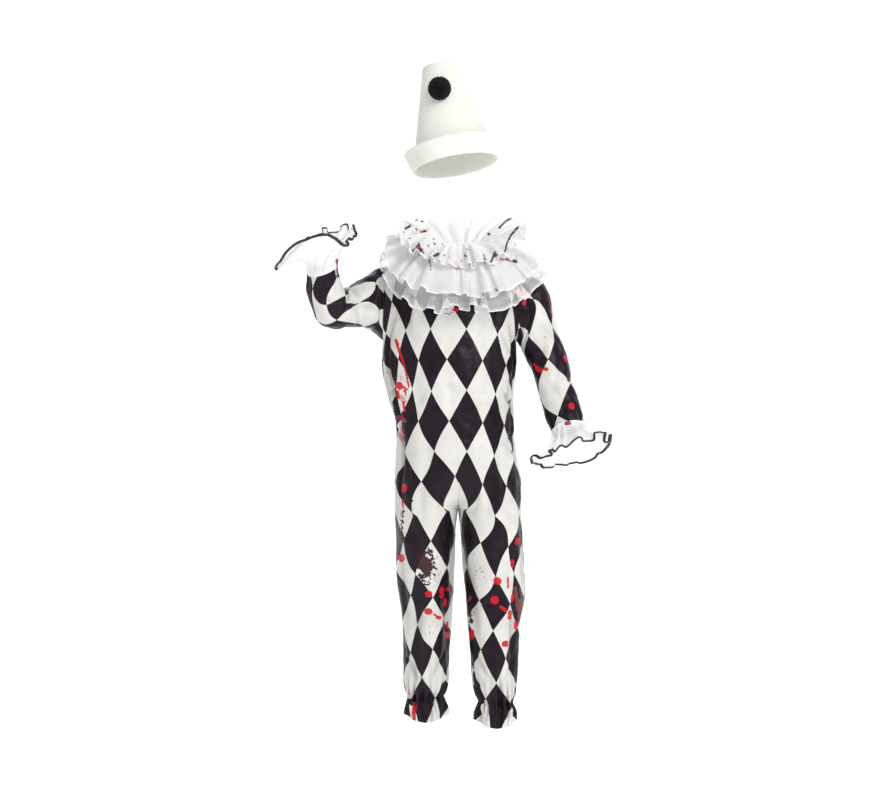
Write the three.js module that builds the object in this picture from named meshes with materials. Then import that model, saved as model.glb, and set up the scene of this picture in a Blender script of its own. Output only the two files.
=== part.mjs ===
// Pierrot costume for a child of about 1.4 m: a one-piece suit of four long panels and two sleeves,
// sheer cuff flounces bound at the edge, a three-tier sheer collar on a neck band, and a tall felt hat.
// It has the hollow form it has when worn: right arm raised, left arm hanging, every mouth open.
// Millimetres, +Z up. The front faces -Y and the wearer's left side is +X.
// The origin is the middle of the neckline, where the costume hangs from the wearer.
import * as THREE from "three";

// Walls and clearances.
const CLOTH = 1.5;
const SHEER = 1.0;
const FELT = 2.4;
const SEAM = 0.34;

// Suit sections below the armholes: height, middle of the body, half width, depth to front and back.
const TRUNK = [
  { z: -187, middle: -17.6, half: 140, front: 90, back: 88 },
  { z: -233, middle: -17.6, half: 141, front: 94, back: 90 },
  { z: -294, middle: -16, half: 132, front: 95, back: 86 },
  { z: -357, middle: -8, half: 125, front: 94, back: 86 },
  { z: -418, middle: -3.8, half: 126, front: 95, back: 92 },
  { z: -496, middle: 0, half: 133, front: 93, back: 98 },
  { z: -560, middle: 0, half: 133, front: 90, back: 98 },
];
const TRUNK_STEPS = 6;
// Below 1 a section is fuller at its corners than an ellipse.
const TRUNK_FULLNESS = 0.92;

// The fork, where the two legs part: the centre seams run under along a quarter ellipse.
const FORK = { top: -440, centre: -538, side: -556, steps: 4, fill: 0.1, settle: 80, apart: 0.1 };

// Leg sections: height, axis, half width and depth. The right leg stands back, the left one forward.
const LEG_RIGHT = [
  { z: -556, x: -66.5, y: 0, half: 66, depth: 83 },
  { z: -606, x: -68, y: 2, half: 62, depth: 76 },
  { z: -672, x: -69.3, y: 6, half: 59.5, depth: 68 },
  { z: -736, x: -67.6, y: 12, half: 55.5, depth: 61 },
  { z: -784, x: -66.3, y: 17, half: 52.5, depth: 57 },
  { z: -842, x: -66.6, y: 22, half: 50, depth: 54 },
  { z: -892, x: -67, y: 26, half: 47.5, depth: 50 },
  { z: -920, x: -68.5, y: 28, half: 43, depth: 45 },
  { z: -938, x: -70, y: 29, half: 35, depth: 37 },
  { z: -948, x: -69, y: 29, half: 39, depth: 41 },
  { z: -964, x: -67.5, y: 30, half: 42, depth: 45 },
  { z: -985, x: -67.5, y: 30, half: 43, depth: 47 },
];
const LEG_LEFT = [
  { z: -556, x: 66.5, y: 0, half: 66, depth: 83 },
  { z: -606, x: 71, y: -2, half: 66.5, depth: 77 },
  { z: -662, x: 75, y: -6, half: 66.5, depth: 71 },
  { z: -728, x: 77.5, y: -12, half: 61.5, depth: 64 },
  { z: -776, x: 75, y: -17, half: 55, depth: 59 },
  { z: -834, x: 74.6, y: -22, half: 50.5, depth: 54 },
  { z: -888, x: 76, y: -26, half: 47.5, depth: 50 },
  { z: -920, x: 78.5, y: -28, half: 43, depth: 45 },
  { z: -938, x: 80.5, y: -29, half: 35, depth: 37 },
  { z: -948, x: 81, y: -29, half: 39, depth: 41 },
  { z: -964, x: 80, y: -30, half: 40, depth: 45 },
  { z: -985, x: 79, y: -30, half: 41, depth: 47 },
];
const LEG_HEIGHTS = [-600, -645, -695, -745, -795, -845, -885, -912, -928, -938, -948, -964, -985];
const HEM_WAVES = { count: 6, height: 6, from: -940, to: -970 };
const PANEL_COLUMNS = 12;

// Neckline and shoulders.
const NECK = { x: 4, wide: 60, front: 58, back: 54, zFront: -16, zSide: 0, zBack: -4 };
// Share of a panel's upper edge that is neckline. The rest is shoulder seam.
const NECK_SHARE = 0.5;
const YOKE_STEPS = 8;
// How flat the yoke is in profile: 1 is a parabola and 0.5 a round shoulder.
const YOKE_ROUND = { centre: 0.85, shoulder: 0.5 };
const ARMHOLE_RIGHT = { side: -1, tip: [-152, 2, -30], pitX: -157.6, pitZ: -187, deep: 54 };
const ARMHOLE_LEFT = { side: 1, tip: [134, 2, -40], pitX: 122.4, pitZ: -187, deep: 54 };

// Largest folds of the suit: panel, place across it from centre (0) to side seam (1), height,
// half length, half width as a share of the panel, depth, and slant across for each millimetre down.
const FOLDS = [
  { panel: "front_right", at: 0.72, z: -255, long: 90, wide: 0.07, deep: 9, slant: -0.0004 },
  { panel: "front_right", at: 0.9, z: -330, long: 80, wide: 0.06, deep: 6, slant: 0.0003 },
  { panel: "front_left", at: 0.84, z: -232, long: 60, wide: 0.07, deep: 8, slant: 0.0012 },
  { panel: "front_left", at: 0.9, z: -350, long: 90, wide: 0.06, deep: 6, slant: 0 },
  { panel: "front_right", at: 0.62, z: -800, long: 110, wide: 0.08, deep: 7, slant: 0.0006 },
  { panel: "front_right", at: 0.2, z: -760, long: 80, wide: 0.09, deep: 6, slant: -0.0008 },
  { panel: "front_left", at: 0.2, z: -720, long: 90, wide: 0.09, deep: 6, slant: 0.0006 },
  { panel: "front_left", at: 0.75, z: -800, long: 100, wide: 0.08, deep: 7, slant: 0.0005 },
  { panel: "back_right", at: 0.75, z: -270, long: 90, wide: 0.08, deep: 8, slant: 0.0003 },
  { panel: "back_left", at: 0.75, z: -270, long: 90, wide: 0.08, deep: 8, slant: 0.0003 },
  { panel: "back_right", at: 0.5, z: -760, long: 60, wide: 0.12, deep: 7, slant: -0.001 },
  { panel: "back_left", at: 0.5, z: -760, long: 60, wide: 0.12, deep: 7, slant: 0.001 },
];

// Centre back placket, lapped over the opening.
const PLACKET = { halfWidth: 12, length: 340, proud: 0.3, below: 0.12 };

// Sleeve sections, shoulder to wrist: the point on the upper or outer line, the point on the lower or
// inner line, and half the width across them. The first section is the armhole itself.
const SLEEVE_LEFT = [
  { outer: [180, 0, -66], inner: [126, -2, -193], cross: 53 },
  { outer: [195, -3, -100], inner: [129, -4, -199], cross: 51 },
  { outer: [204, -8, -150], inner: [134, -8, -208], cross: 48 },
  { outer: [221, -15, -200], inner: [141, -15, -220], cross: 45 },
  { outer: [232, -24, -240], inner: [152, -24, -250], cross: 43 },
  { outer: [240, -36, -282], inner: [164, -36, -292], cross: 40 },
  { outer: [252, -54, -322], inner: [176, -54, -334], cross: 37 },
  { outer: [259, -75, -361], inner: [190, -76, -378], cross: 35 },
];
const SLEEVE_RIGHT = [
  { outer: [-173, -22, -38], inner: [-172, -16, -172], cross: 53 },
  { outer: [-198, -52, -60], inner: [-190, -42, -164], cross: 49 },
  { outer: [-220, -84, -80], inner: [-218, -72, -163], cross: 45 },
  { outer: [-231, -104, -88], inner: [-250, -102, -167], cross: 42 },
  { outer: [-235, -115, -86], inner: [-279, -127, -159], cross: 40 },
  { outer: [-238, -126, -78], inner: [-296, -140, -130], cross: 38 },
  { outer: [-241, -139, -60], inner: [-303, -150, -96], cross: 35 },
  { outer: [-243, -152, -38], inner: [-302, -159, -62], cross: 33 },
];
const SLEEVE_COLUMNS = 16;
const SLEEVE_RINGS = 12;
// Share of a sleeve's length over which its rings turn from the armhole's plane to square with the arm.
const SLEEVE_TURN = 0.4;

// Hems of the cuff flounces: eight points spaced evenly round the wrist, the first on the sleeve's upper
// or outer line and the third at its front.
const FLOUNCE_LEFT = [
  { x: 306, y: -85, z: -393 },
  { x: 280, y: -142, z: -383 },
  { x: 225, y: -165, z: -395 },
  { x: 183, y: -143, z: -415 },
  { x: 152, y: -85, z: -434 },
  { x: 182, y: -35, z: -446 },
  { x: 230, y: -15, z: -443 },
  { x: 278, y: -35, z: -430 },
];
const FLOUNCE_RIGHT = [
  { x: -221, y: -108, z: 36 },
  { x: -209, y: -150, z: 23 },
  { x: -233, y: -198, z: -5 },
  { x: -270, y: -214, z: 7 },
  { x: -320, y: -207, z: -16 },
  { x: -362, y: -160, z: -47 },
  { x: -306, y: -108, z: 14 },
  { x: -263, y: -90, z: 36 },
];
const CUFF = { waves: 9, height: 7, steps: 3, lean: 0.5, binding: 4, bindingWall: 1.8, gap: 0.5 };

// Pleats of collar and cuffs: grid columns in each wave, where the first lies in its wave, how steep
// the sides are, how fast they deepen from the gathered edge, and how uneven they are round the ring.
const PLEAT = { columns: 4, start: 0.125, steep: 2.2, deepen: 0.8, uneven: 0.25, beats: 5 };

// Collar: a band on the neckline and three tiers of sheer cloth. Each hem is a closed line through
// these points, from the front and round by the wearer's left.
const BAND = { front: 14, back: 16, lean: 0.97, steps: 2, columns: 4 * PANEL_COLUMNS * NECK_SHARE };
const TIER_LOWER = [
  { x: 12, y: -138, z: -124 },
  { x: 88, y: -124, z: -128 },
  { x: 155, y: -72, z: -86 },
  { x: 186, y: -4, z: -48 },
  { x: 138, y: 78, z: -56 },
  { x: 4, y: 128, z: -92 },
  { x: -118, y: 84, z: -54 },
  { x: -160, y: 14, z: 0 },
  { x: -150, y: -66, z: -66 },
  { x: -72, y: -128, z: -128 },
];
const TIER_MIDDLE = [
  { x: 14, y: -141, z: -98 },
  { x: 84, y: -129, z: -94 },
  { x: 144, y: -78, z: -58 },
  { x: 168, y: -2, z: -18 },
  { x: 120, y: 80, z: -26 },
  { x: 4, y: 122, z: -58 },
  { x: -104, y: 80, z: -8 },
  { x: -145, y: 12, z: 28 },
  { x: -142, y: -70, z: -44 },
  { x: -74, y: -130, z: -86 },
];
const TIER_UPPER = [
  { x: 8, y: -120, z: -38 },
  { x: 74, y: -110, z: -26 },
  { x: 128, y: -62, z: 20 },
  { x: 140, y: 6, z: 56 },
  { x: 98, y: 68, z: 74 },
  { x: 4, y: 96, z: 66 },
  { x: -86, y: 68, z: 72 },
  { x: -128, y: 4, z: 54 },
  { x: -122, y: -66, z: 22 },
  { x: -66, y: -112, z: -20 },
];
const TIERS = [
  { name: "collar_tier_lower", hem: TIER_LOWER, waves: 20, height: 9, root: 0.22, arch: 18 },
  { name: "collar_tier_middle", hem: TIER_MIDDLE, waves: 20, height: 8, root: 0.55, arch: 25 },
  { name: "collar_tier_upper", hem: TIER_UPPER, waves: 20, height: 8, root: 0.9, arch: 16 },
];
const TIER_STEPS = 3;
// How far out along a tier its arch is highest.
const TIER_KNEE = 0.45;

// Hat: a tapered crown closed by a flat top, a turned-up brim and one pompom on the front.
const HAT = {
  x: -5, y: 22, z: 187, leanSide: 10, leanBack: 6,
  mouth: 86, swell: { up: 36, radius: 80 }, top: 31, tall: 216, columns: 32,
};
// The brim's section, round from the crown's mouth: distance out from the crown and height.
const BRIM = [
  { out: 0, z: 6 },
  { out: 0, z: -1.5 },
  { out: 2.6, z: -3.2 },
  { out: 5, z: -0.6 },
  { out: 11.2, z: 19 },
  { out: 18.4, z: 38 },
  { out: 16, z: 38.6 },
  { out: 8.8, z: 19 },
  { out: 2.6, z: 0.6 },
  { out: 2.2, z: 6 },
];
const POMPOM = { radius: 25, up: 142, turn: -6, core: 0.86, detail: 2, back: 18, squash: 0.05 };

const vec = (x, y, z) => new THREE.Vector3(x, y, z);
const mix = THREE.MathUtils.lerp;
const rad = THREE.MathUtils.degToRad;
const smooth = (t) => THREE.MathUtils.smoothstep(t, 0, 1);

// Smooth reading of one column of a table whose rows are ordered by another column.
function reading(table, by, name, at) {
  const last = table.length - 1;
  let i = 0;
  while (i < last - 1 && (at - table[i + 1][by]) * (table[last][by] - table[0][by]) > 0) i += 1;
  const slope = (k) => {
    const low = table[Math.max(k - 1, 0)];
    const high = table[Math.min(k + 1, last)];
    return (high[name] - low[name]) / (high[by] - low[by]);
  };
  const run = table[i + 1][by] - table[i][by];
  const t = THREE.MathUtils.clamp((at - table[i][by]) / run, 0, 1);
  const a = table[i][name];
  const b = table[i + 1][name];
  const bend = t * (1 - t) * run;
  return mix(a, b, t * t * (3 - 2 * t)) + bend * ((1 - t) * slope(i) - t * slope(i + 1));
}

// Outward unit normals of a grid of points, rows of columns. Columns may close round.
function normalsOf(grid, closed, flip) {
  const rows = grid.length;
  const columns = grid[0].length;
  return grid.map((row, i) =>
    row.map((point, j) => {
      const left = closed ? (j + columns - 1) % columns : Math.max(j - 1, 0);
      const right = closed ? (j + 1) % columns : Math.min(j + 1, columns - 1);
      const along = row[right].clone().sub(row[left]);
      const down = grid[Math.min(i + 1, rows - 1)][j].clone().sub(grid[Math.max(i - 1, 0)][j]);
      return along.cross(down).multiplyScalar(flip).normalize();
    }),
  );
}

// A closed solid between a grid of outer points and the same grid moved in by the wall.
function wallSolid(grid, normals, wall, closed) {
  const rows = grid.length;
  const columns = grid[0].length;
  const inner = grid.map((row, i) =>
    row.map((p, j) => p.clone().addScaledVector(normals[i][j], -wall)),
  );
  const layers = [grid, inner];
  const points = layers.flatMap((layer) => layer.flat());
  const at = (layer, i, j) => layer * rows * columns + i * columns + (j % columns);
  const faces = [];
  const quad = (a, b, c, d) => faces.push(a, b, c, a, c, d);
  const spans = closed ? columns : columns - 1;
  for (let i = 0; i < rows - 1; i += 1) {
    for (let j = 0; j < spans; j += 1) {
      quad(at(0, i, j), at(0, i + 1, j), at(0, i + 1, j + 1), at(0, i, j + 1));
      quad(at(1, i, j), at(1, i, j + 1), at(1, i + 1, j + 1), at(1, i + 1, j));
    }
  }
  for (let j = 0; j < spans; j += 1) {
    quad(at(0, 0, j), at(0, 0, j + 1), at(1, 0, j + 1), at(1, 0, j));
    quad(at(0, rows - 1, j + 1), at(0, rows - 1, j), at(1, rows - 1, j), at(1, rows - 1, j + 1));
  }
  if (!closed) {
    for (let i = 0; i < rows - 1; i += 1) {
      quad(at(0, i + 1, 0), at(0, i, 0), at(1, i, 0), at(1, i + 1, 0));
      const end = columns - 1;
      quad(at(0, i, end), at(0, i + 1, end), at(1, i + 1, end), at(1, i, end));
    }
  }
  const geometry = new THREE.BufferGeometry().setFromPoints(points);
  geometry.setIndex(faces);
  return facingOut(geometry);
}

// Turns a closed geometry's faces round if they point inwards.
function facingOut(geometry) {
  const index = geometry.getIndex().array;
  const position = geometry.getAttribute("position");
  const corner = [vec(), vec(), vec()];
  let volume = 0;
  for (let i = 0; i < index.length; i += 3) {
    corner.forEach((c, k) => c.fromBufferAttribute(position, index[i + k]));
    volume += corner[0].dot(corner[1].clone().cross(corner[2]));
  }
  if (volume < 0) {
    for (let i = 0; i < index.length; i += 3) {
      [index[i + 1], index[i + 2]] = [index[i + 2], index[i + 1]];
    }
  }
  geometry.computeVertexNormals();
  return geometry;
}

function neckPoint(angle) {
  const forward = Math.cos(angle);
  const z = forward > 0
    ? mix(NECK.zSide, NECK.zFront, forward * forward)
    : mix(NECK.zSide, NECK.zBack, forward * forward);
  const reach = forward > 0 ? NECK.front : NECK.back;
  return vec(NECK.x + NECK.wide * Math.sin(angle), -reach * forward, z);
}

function armholePoint(hole, angle) {
  const [tipX, tipY, tipZ] = hole.tip;
  const up = (1 + Math.cos(angle)) / 2;
  return vec(mix(hole.pitX, tipX, up), tipY * up - hole.deep * Math.sin(angle), mix(hole.pitZ, tipZ, up));
}

// The direction square to an armhole's flat outline.
function armholeFacing(hole) {
  const chord = vec(...hole.tip).sub(vec(hole.pitX, 0, hole.pitZ));
  return vec(0, 1, 0).cross(chord).normalize();
}

// A point of a trunk section. across runs from the centre seam (0) to the side seam (1).
function trunkPoint(side, face, across, z) {
  const angle = (across * Math.PI) / 2;
  const middle = reading(TRUNK, "z", "middle", z);
  const half = reading(TRUNK, "z", "half", z);
  const depth = reading(TRUNK, "z", face < 0 ? "front" : "back", z);
  const x = middle + side * half * Math.sin(angle) ** TRUNK_FULLNESS;
  return vec(x, face * depth * Math.cos(angle) ** TRUNK_FULLNESS, z);
}

// A point of a leg section. across runs from the inside leg (0) to the side seam (1).
function legPoint(side, face, across, z) {
  const table = side < 0 ? LEG_RIGHT : LEG_LEFT;
  const angle = across * Math.PI;
  const half = reading(table, "z", "half", z);
  const depth = reading(table, "z", "depth", z);
  const x = reading(table, "z", "x", z) - side * half * Math.cos(angle);
  const ruffle = smooth((HEM_WAVES.from - z) / (HEM_WAVES.from - HEM_WAVES.to));
  const wave = HEM_WAVES.height * ruffle * Math.cos(HEM_WAVES.count * angle * face);
  const y = reading(table, "z", "y", z) + face * depth * Math.sin(angle);
  return vec(x - side * wave * Math.cos(angle), y + face * wave * Math.sin(angle), z);
}

// A point of the fork between trunk (share 0) and leg (share 1).
function forkPoint(side, face, across, share) {
  const centre = FORK.top + (FORK.centre - FORK.top) * Math.sin((share * Math.PI) / 2);
  const edge = mix(FORK.top, FORK.side, share);
  const inward = Math.cos((across * Math.PI) / 2) ** 2;
  const z = mix(edge, centre, inward);
  const toLeg = 1 - Math.cos((share * Math.PI) / 2);
  const point = trunkPoint(side, face, across, z).lerp(legPoint(side, face, across, FORK.side), toLeg);
  point.y *= 1 + FORK.fill * Math.sin(share * Math.PI) * Math.sin(across * Math.PI);
  point.z = z;
  return point;
}

// A point of the yoke, between the armpit's level (share 0) and the neckline and shoulder (share 1).
function yokePoint(side, face, across, share) {
  const hole = side < 0 ? ARMHOLE_RIGHT : ARMHOLE_LEFT;
  const turn = (t) => side * (face < 0 ? t * (Math.PI / 2) : Math.PI - t * (Math.PI / 2));
  const top = (t) => {
    if (t <= NECK_SHARE) return neckPoint(turn(t / NECK_SHARE));
    const out = (t - NECK_SHARE) / (1 - NECK_SHARE);
    return neckPoint(turn(1)).lerp(vec(...hole.tip), out);
  };
  const up = Math.sin((share * Math.PI) / 2);
  const blend = (t) => {
    const low = trunkPoint(side, face, t, TRUNK[0].z);
    const high = top(t);
    const round = (1 - up * up) ** mix(YOKE_ROUND.centre, YOKE_ROUND.shoulder, smooth(t / NECK_SHARE));
    return vec(mix(low.x, high.x, up), mix(high.y, low.y, round), mix(low.z, high.z, up));
  };
  const rim = armholePoint(hole, Math.PI * (1 - share));
  rim.y = face < 0 ? rim.y : 2 * hole.tip[1] * ((rim.z - hole.pitZ) / (hole.tip[2] - hole.pitZ)) - rim.y;
  return blend(across).addScaledVector(rim.sub(blend(1)), across ** 3);
}

// The rows of one long panel, from the neck and shoulder to the hem.
function panelRows(side, face) {
  const rows = [];
  for (let i = YOKE_STEPS; i > 0; i -= 1) rows.push((t) => yokePoint(side, face, t, i / YOKE_STEPS));
  for (let i = 0; i < TRUNK_STEPS; i += 1) {
    const z = mix(TRUNK[0].z, FORK.top, i / TRUNK_STEPS);
    rows.push((t) => trunkPoint(side, face, t, z));
  }
  for (let i = 0; i <= FORK.steps; i += 1) rows.push((t) => forkPoint(side, face, t, i / FORK.steps));
  for (const z of LEG_HEIGHTS) {
    const settle = smooth((FORK.side - z) / FORK.settle);
    const lift = (t) => (1 - settle) * (FORK.centre - FORK.side) * Math.cos((t * Math.PI) / 2) ** 2;
    rows.push((t) => legPoint(side, face, t, z).add(vec(0, 0, lift(t))));
  }
  return rows;
}

function foldDepth(panel, across, z) {
  return FOLDS.filter((fold) => fold.panel === panel).reduce((sum, fold) => {
    const off = (across - fold.at - fold.slant * (fold.z - z)) / fold.wide;
    const far = (z - fold.z) / fold.long;
    return sum + fold.deep * Math.exp(-off * off - far * far);
  }, 0);
}

const PANELS = [
  { name: "front_right", side: -1, face: -1 },
  { name: "front_left", side: 1, face: -1 },
  { name: "back_right", side: -1, face: 1 },
  { name: "back_left", side: 1, face: 1 },
];
const FORK_ROW = YOKE_STEPS + TRUNK_STEPS + FORK.steps;

// Grids and shared seam normals of the four panels.
function suitPanels() {
  const panels = PANELS.map((panel) => {
    const grid = panelRows(panel.side, panel.face).map((row) =>
      Array.from({ length: PANEL_COLUMNS + 1 }, (_, j) => row(j / PANEL_COLUMNS)),
    );
    const flip = panel.side * panel.face;
    const flat = normalsOf(grid, false, flip);
    grid.forEach((row, i) =>
      row.forEach((p, j) => p.addScaledVector(flat[i][j], -foldDepth(panel.name, j / PANEL_COLUMNS, p.z))),
    );
    return { ...panel, grid, normals: normalsOf(grid, false, flip) };
  });
  const share = (a, b, i, j) => {
    const sum = a.normals[i][j].clone().add(b.normals[i][j]).normalize();
    a.normals[i][j] = sum;
    b.normals[i][j] = sum.clone();
  };
  for (const side of [-1, 1]) {
    const [front, back] = panels.filter((p) => p.side === side);
    const facing = armholeFacing(side < 0 ? ARMHOLE_RIGHT : ARMHOLE_LEFT);
    for (let i = 0; i < YOKE_STEPS; i += 1) {
      for (const p of [front, back]) p.normals[i][PANEL_COLUMNS].projectOnPlane(facing).normalize();
    }
    front.grid.forEach((row, i) => {
      if (i >= YOKE_STEPS) share(front, back, i, PANEL_COLUMNS);
      if (i > FORK_ROW) share(front, back, i, 0);
      if (i === FORK_ROW) {
        for (const p of [front, back]) p.normals[i][0] = vec(-side, 0, -1).normalize();
      }
      if (i < FORK_ROW) {
        for (const p of [front, back]) p.normals[i][0].setX(0).normalize();
      }
    });
    for (let j = PANEL_COLUMNS * NECK_SHARE; j <= PANEL_COLUMNS; j += 1) share(front, back, 0, j);
  }
  return panels;
}

// Draws the edges of an open grid in by half a seam, so that sewn neighbours lie just apart.
function drawIn(grid) {
  const step = (from, to) => to.clone().sub(from).setLength(SEAM / 2);
  const last = grid[0].length - 1;
  grid.forEach((row) => {
    const start = step(row[0], row[1]);
    const end = step(row[last], row[last - 1]);
    row[0].add(start);
    row[last].add(end);
  });
  grid[0].forEach((point, j) => point.add(step(point, grid[1][j])));
}

function panelSolid(panel) {
  const grid = panel.grid.map((row) => row.map((p) => p.clone()));
  drawIn(grid);
  grid.slice(YOKE_STEPS).forEach((row) => row[0].setX(row[0].x + panel.side * FORK.apart));
  return wallSolid(grid, panel.normals, CLOTH, false);
}

// The strip that laps over the centre back opening, laid on the two back panels.
function placketSolid() {
  const rows = panelRows(1, 1).slice(0, YOKE_STEPS + TRUNK_STEPS);
  const others = panelRows(-1, 1).slice(0, YOKE_STEPS + TRUNK_STEPS);
  const across = [-1, -0.5, 0, 0.5, 1];
  const near = 0.1;
  const grid = rows.map((row, i) => {
    const width = row(near).distanceTo(row(0)) / near;
    return across.map((a) => (a < 0 ? others[i] : row)((Math.abs(a) * PLACKET.halfWidth) / width));
  });
  const lowest = grid[0][2].z - PLACKET.length;
  const kept = grid.filter((row) => row[2].z > lowest);
  const normals = normalsOf(kept, false, 1);
  normals.forEach((row) => row[2].setX(0).normalize());
  const lift = PLACKET.proud + CLOTH;
  kept.forEach((row, i) => row.forEach((p, j) => p.addScaledVector(normals[i][j], lift)));
  kept[0].forEach((p, j) => p.lerp(kept[1][j], PLACKET.below));
  return wallSolid(kept, normals, CLOTH, false);
}

// Rings of a sleeve. Each ring spans its outer and inner lines, and is round across them.
function sleeveRings(hole, table) {
  const tip = vec(...hole.tip);
  const pit = vec(hole.pitX, 0, hole.pitZ);
  const outer = new THREE.CatmullRomCurve3([tip, ...table.map((row) => vec(...row.outer))]);
  const inner = new THREE.CatmullRomCurve3([pit, ...table.map((row) => vec(...row.inner))]);
  const widths = [hole.deep, ...table.map((row) => row.cross)].map((cross, at) => ({ at, cross }));
  const middleAt = (t) => outer.getPoint(t).lerp(inner.getPoint(t), 0.5);
  const near = 0.02;
  const directionAt = (t) =>
    middleAt(Math.min(t + near, 1)).sub(middleAt(Math.max(t - near, 0))).normalize();
  const rings = [];
  for (let i = 0; i <= SLEEVE_RINGS; i += 1) {
    const t = i / SLEEVE_RINGS;
    const middle = middleAt(t);
    const tangent = directionAt(t);
    const half = outer.getPoint(t).sub(inner.getPoint(t)).multiplyScalar(0.5);
    const square = tangent.clone().cross(half).normalize().multiplyScalar(hole.side);
    const front = vec(0, -1, 0).lerp(square, smooth(t / SLEEVE_TURN)).normalize();
    const cross = reading(widths, "at", "cross", t * table.length);
    rings.push(
      Array.from({ length: SLEEVE_COLUMNS }, (_, j) => {
        const angle = (j / SLEEVE_COLUMNS) * Math.PI * 2;
        if (i === 0) return armholePoint(hole, angle).add(vec(hole.side * SEAM, 0, 0));
        return middle
          .clone()
          .addScaledVector(half, Math.cos(angle))
          .addScaledVector(front, cross * Math.sin(angle));
      }),
    );
  }
  return { rings, along: directionAt(1) };
}

const outwardOf = (grid) => {
  const normals = normalsOf(grid, true, 1);
  const middle = grid[0].reduce((sum, p) => sum.add(p), vec(0, 0, 0)).divideScalar(grid[0].length);
  const inward = normals[1][0].dot(grid[1][0].clone().sub(middle)) < 0;
  return inward ? normals.map((row) => row.map((n) => n.negate())) : normals;
};

// The sleeve's first ring keeps its wall in the armhole's own plane.
function sleeveSolid(sleeve, hole) {
  const normals = outwardOf(sleeve.rings);
  normals[0].forEach((n) => n.projectOnPlane(armholeFacing(hole)).normalize());
  return wallSolid(sleeve.rings, normals, CLOTH, true);
}

// Height of the pleats at a share of the way round: flat tops and hollows with steep sides.
function pleat(share, waves) {
  const round = share * Math.PI * 2;
  const wave = Math.sin(round * waves + PLEAT.start * Math.PI * 2);
  const uneven = 1 + PLEAT.uneven * Math.sin(round * PLEAT.beats);
  return (uneven * Math.tanh(PLEAT.steep * wave)) / Math.tanh(PLEAT.steep);
}

// A flounce sewn to a sleeve's end: it leaves along the arm and flares to its hem.
function flounceGrid(sleeve, hemTable) {
  const last = sleeve.rings[sleeve.rings.length - 1];
  const root = new THREE.CatmullRomCurve3(last, true);
  const hem = new THREE.CatmullRomCurve3(hemTable.map((r) => vec(r.x, r.y, r.z)), true);
  const grid = [];
  const columns = CUFF.waves * PLEAT.columns;
  for (let i = 0; i <= CUFF.steps; i += 1) {
    const t = i / CUFF.steps;
    grid.push(
      Array.from({ length: columns }, (_, j) => {
        const u = j / columns;
        const start = root.getPoint(u).addScaledVector(sleeve.along, SEAM);
        const end = hem.getPoint(u);
        const lean = start.clone().addScaledVector(sleeve.along, start.distanceTo(end) * CUFF.lean);
        const a = start.clone().lerp(lean, t);
        return a.lerp(lean.clone().lerp(end, t), t);
      }),
    );
  }
  return waved(grid, CUFF.waves, CUFF.height);
}

// Moves a ring grid out and in by pleats that deepen from its root to its hem.
function waved(grid, waves, height) {
  const normals = outwardOf(grid);
  const rows = grid.length - 1;
  return grid.map((row, i) =>
    row.map((p, j) => {
      const deep = height * (i / rows) ** PLEAT.deepen;
      return p.clone().addScaledVector(normals[i][j], deep * pleat(j / row.length, waves));
    }),
  );
}

// The binding carries on from the flounce's hem, just beyond its edge.
function bindingGrid(flounce) {
  const last = flounce.length - 1;
  return [0, 1].map((k) =>
    flounce[last].map((p, j) => {
      const way = p.clone().sub(flounce[last - 1][j]).normalize();
      return p.clone().addScaledVector(way, CUFF.gap + k * CUFF.binding);
    }),
  );
}

// A point on the outside of the neck band. share runs from its foot (0) to its upper edge (1).
function bandPoint(angle, share) {
  const foot = neckPoint(angle).add(vec(0, 0, SEAM));
  const level = mix(BAND.back, BAND.front, (1 + Math.cos(angle)) / 2);
  const head = neckPoint(angle).multiplyScalar(BAND.lean).setZ(level);
  return foot.lerp(head, share);
}

function bandGrid() {
  return Array.from({ length: BAND.steps + 1 }, (_, i) =>
    Array.from({ length: BAND.columns }, (__, j) => {
      const angle = (j / BAND.columns) * Math.PI * 2;
      return bandPoint(angle, i / BAND.steps);
    }),
  );
}

// One tier: gathered on the band, arched over, and falling or standing to its hem.
// Its root edge is cut upright, so that all of it lies just off the band.
function tierSolid(tier) {
  const grid = tierGrid(tier);
  const normals = outwardOf(grid);
  const side = Math.sign(normals[0].reduce((sum, n) => sum + n.z, 0));
  normals[0].forEach((n) => n.set(0, 0, side));
  return wallSolid(grid, normals, SHEER, true);
}

function tierGrid(tier) {
  const columns = tier.waves * PLEAT.columns;
  const hem = new THREE.CatmullRomCurve3(tier.hem.map((r) => vec(r.x, r.y, r.z)), true);
  const grid = [];
  for (let i = 0; i <= TIER_STEPS; i += 1) {
    const t = i / TIER_STEPS;
    grid.push(
      Array.from({ length: columns }, (_, j) => {
        const u = j / columns;
        const angle = u * Math.PI * 2;
        const out = vec(Math.sin(angle), -Math.cos(angle), 0);
        const foot = bandPoint(angle, tier.root).addScaledVector(out, SEAM);
        const end = hem.getPoint(u);
        const knee = foot.clone().lerp(end, TIER_KNEE).add(vec(0, 0, tier.arch));
        const a = foot.clone().lerp(knee, t);
        return a.lerp(knee.clone().lerp(end, t), t);
      }),
    );
  }
  return waved(grid, tier.waves, tier.height);
}

function ringSolid(grid, wall) {
  return wallSolid(grid, outwardOf(grid), wall, true);
}

function lathed(profile, columns) {
  const geometry = new THREE.LatheGeometry(profile.map(([r, z]) => new THREE.Vector2(r, z)), columns);
  geometry.rotateX(Math.PI / 2);
  return weld(geometry);
}

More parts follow.
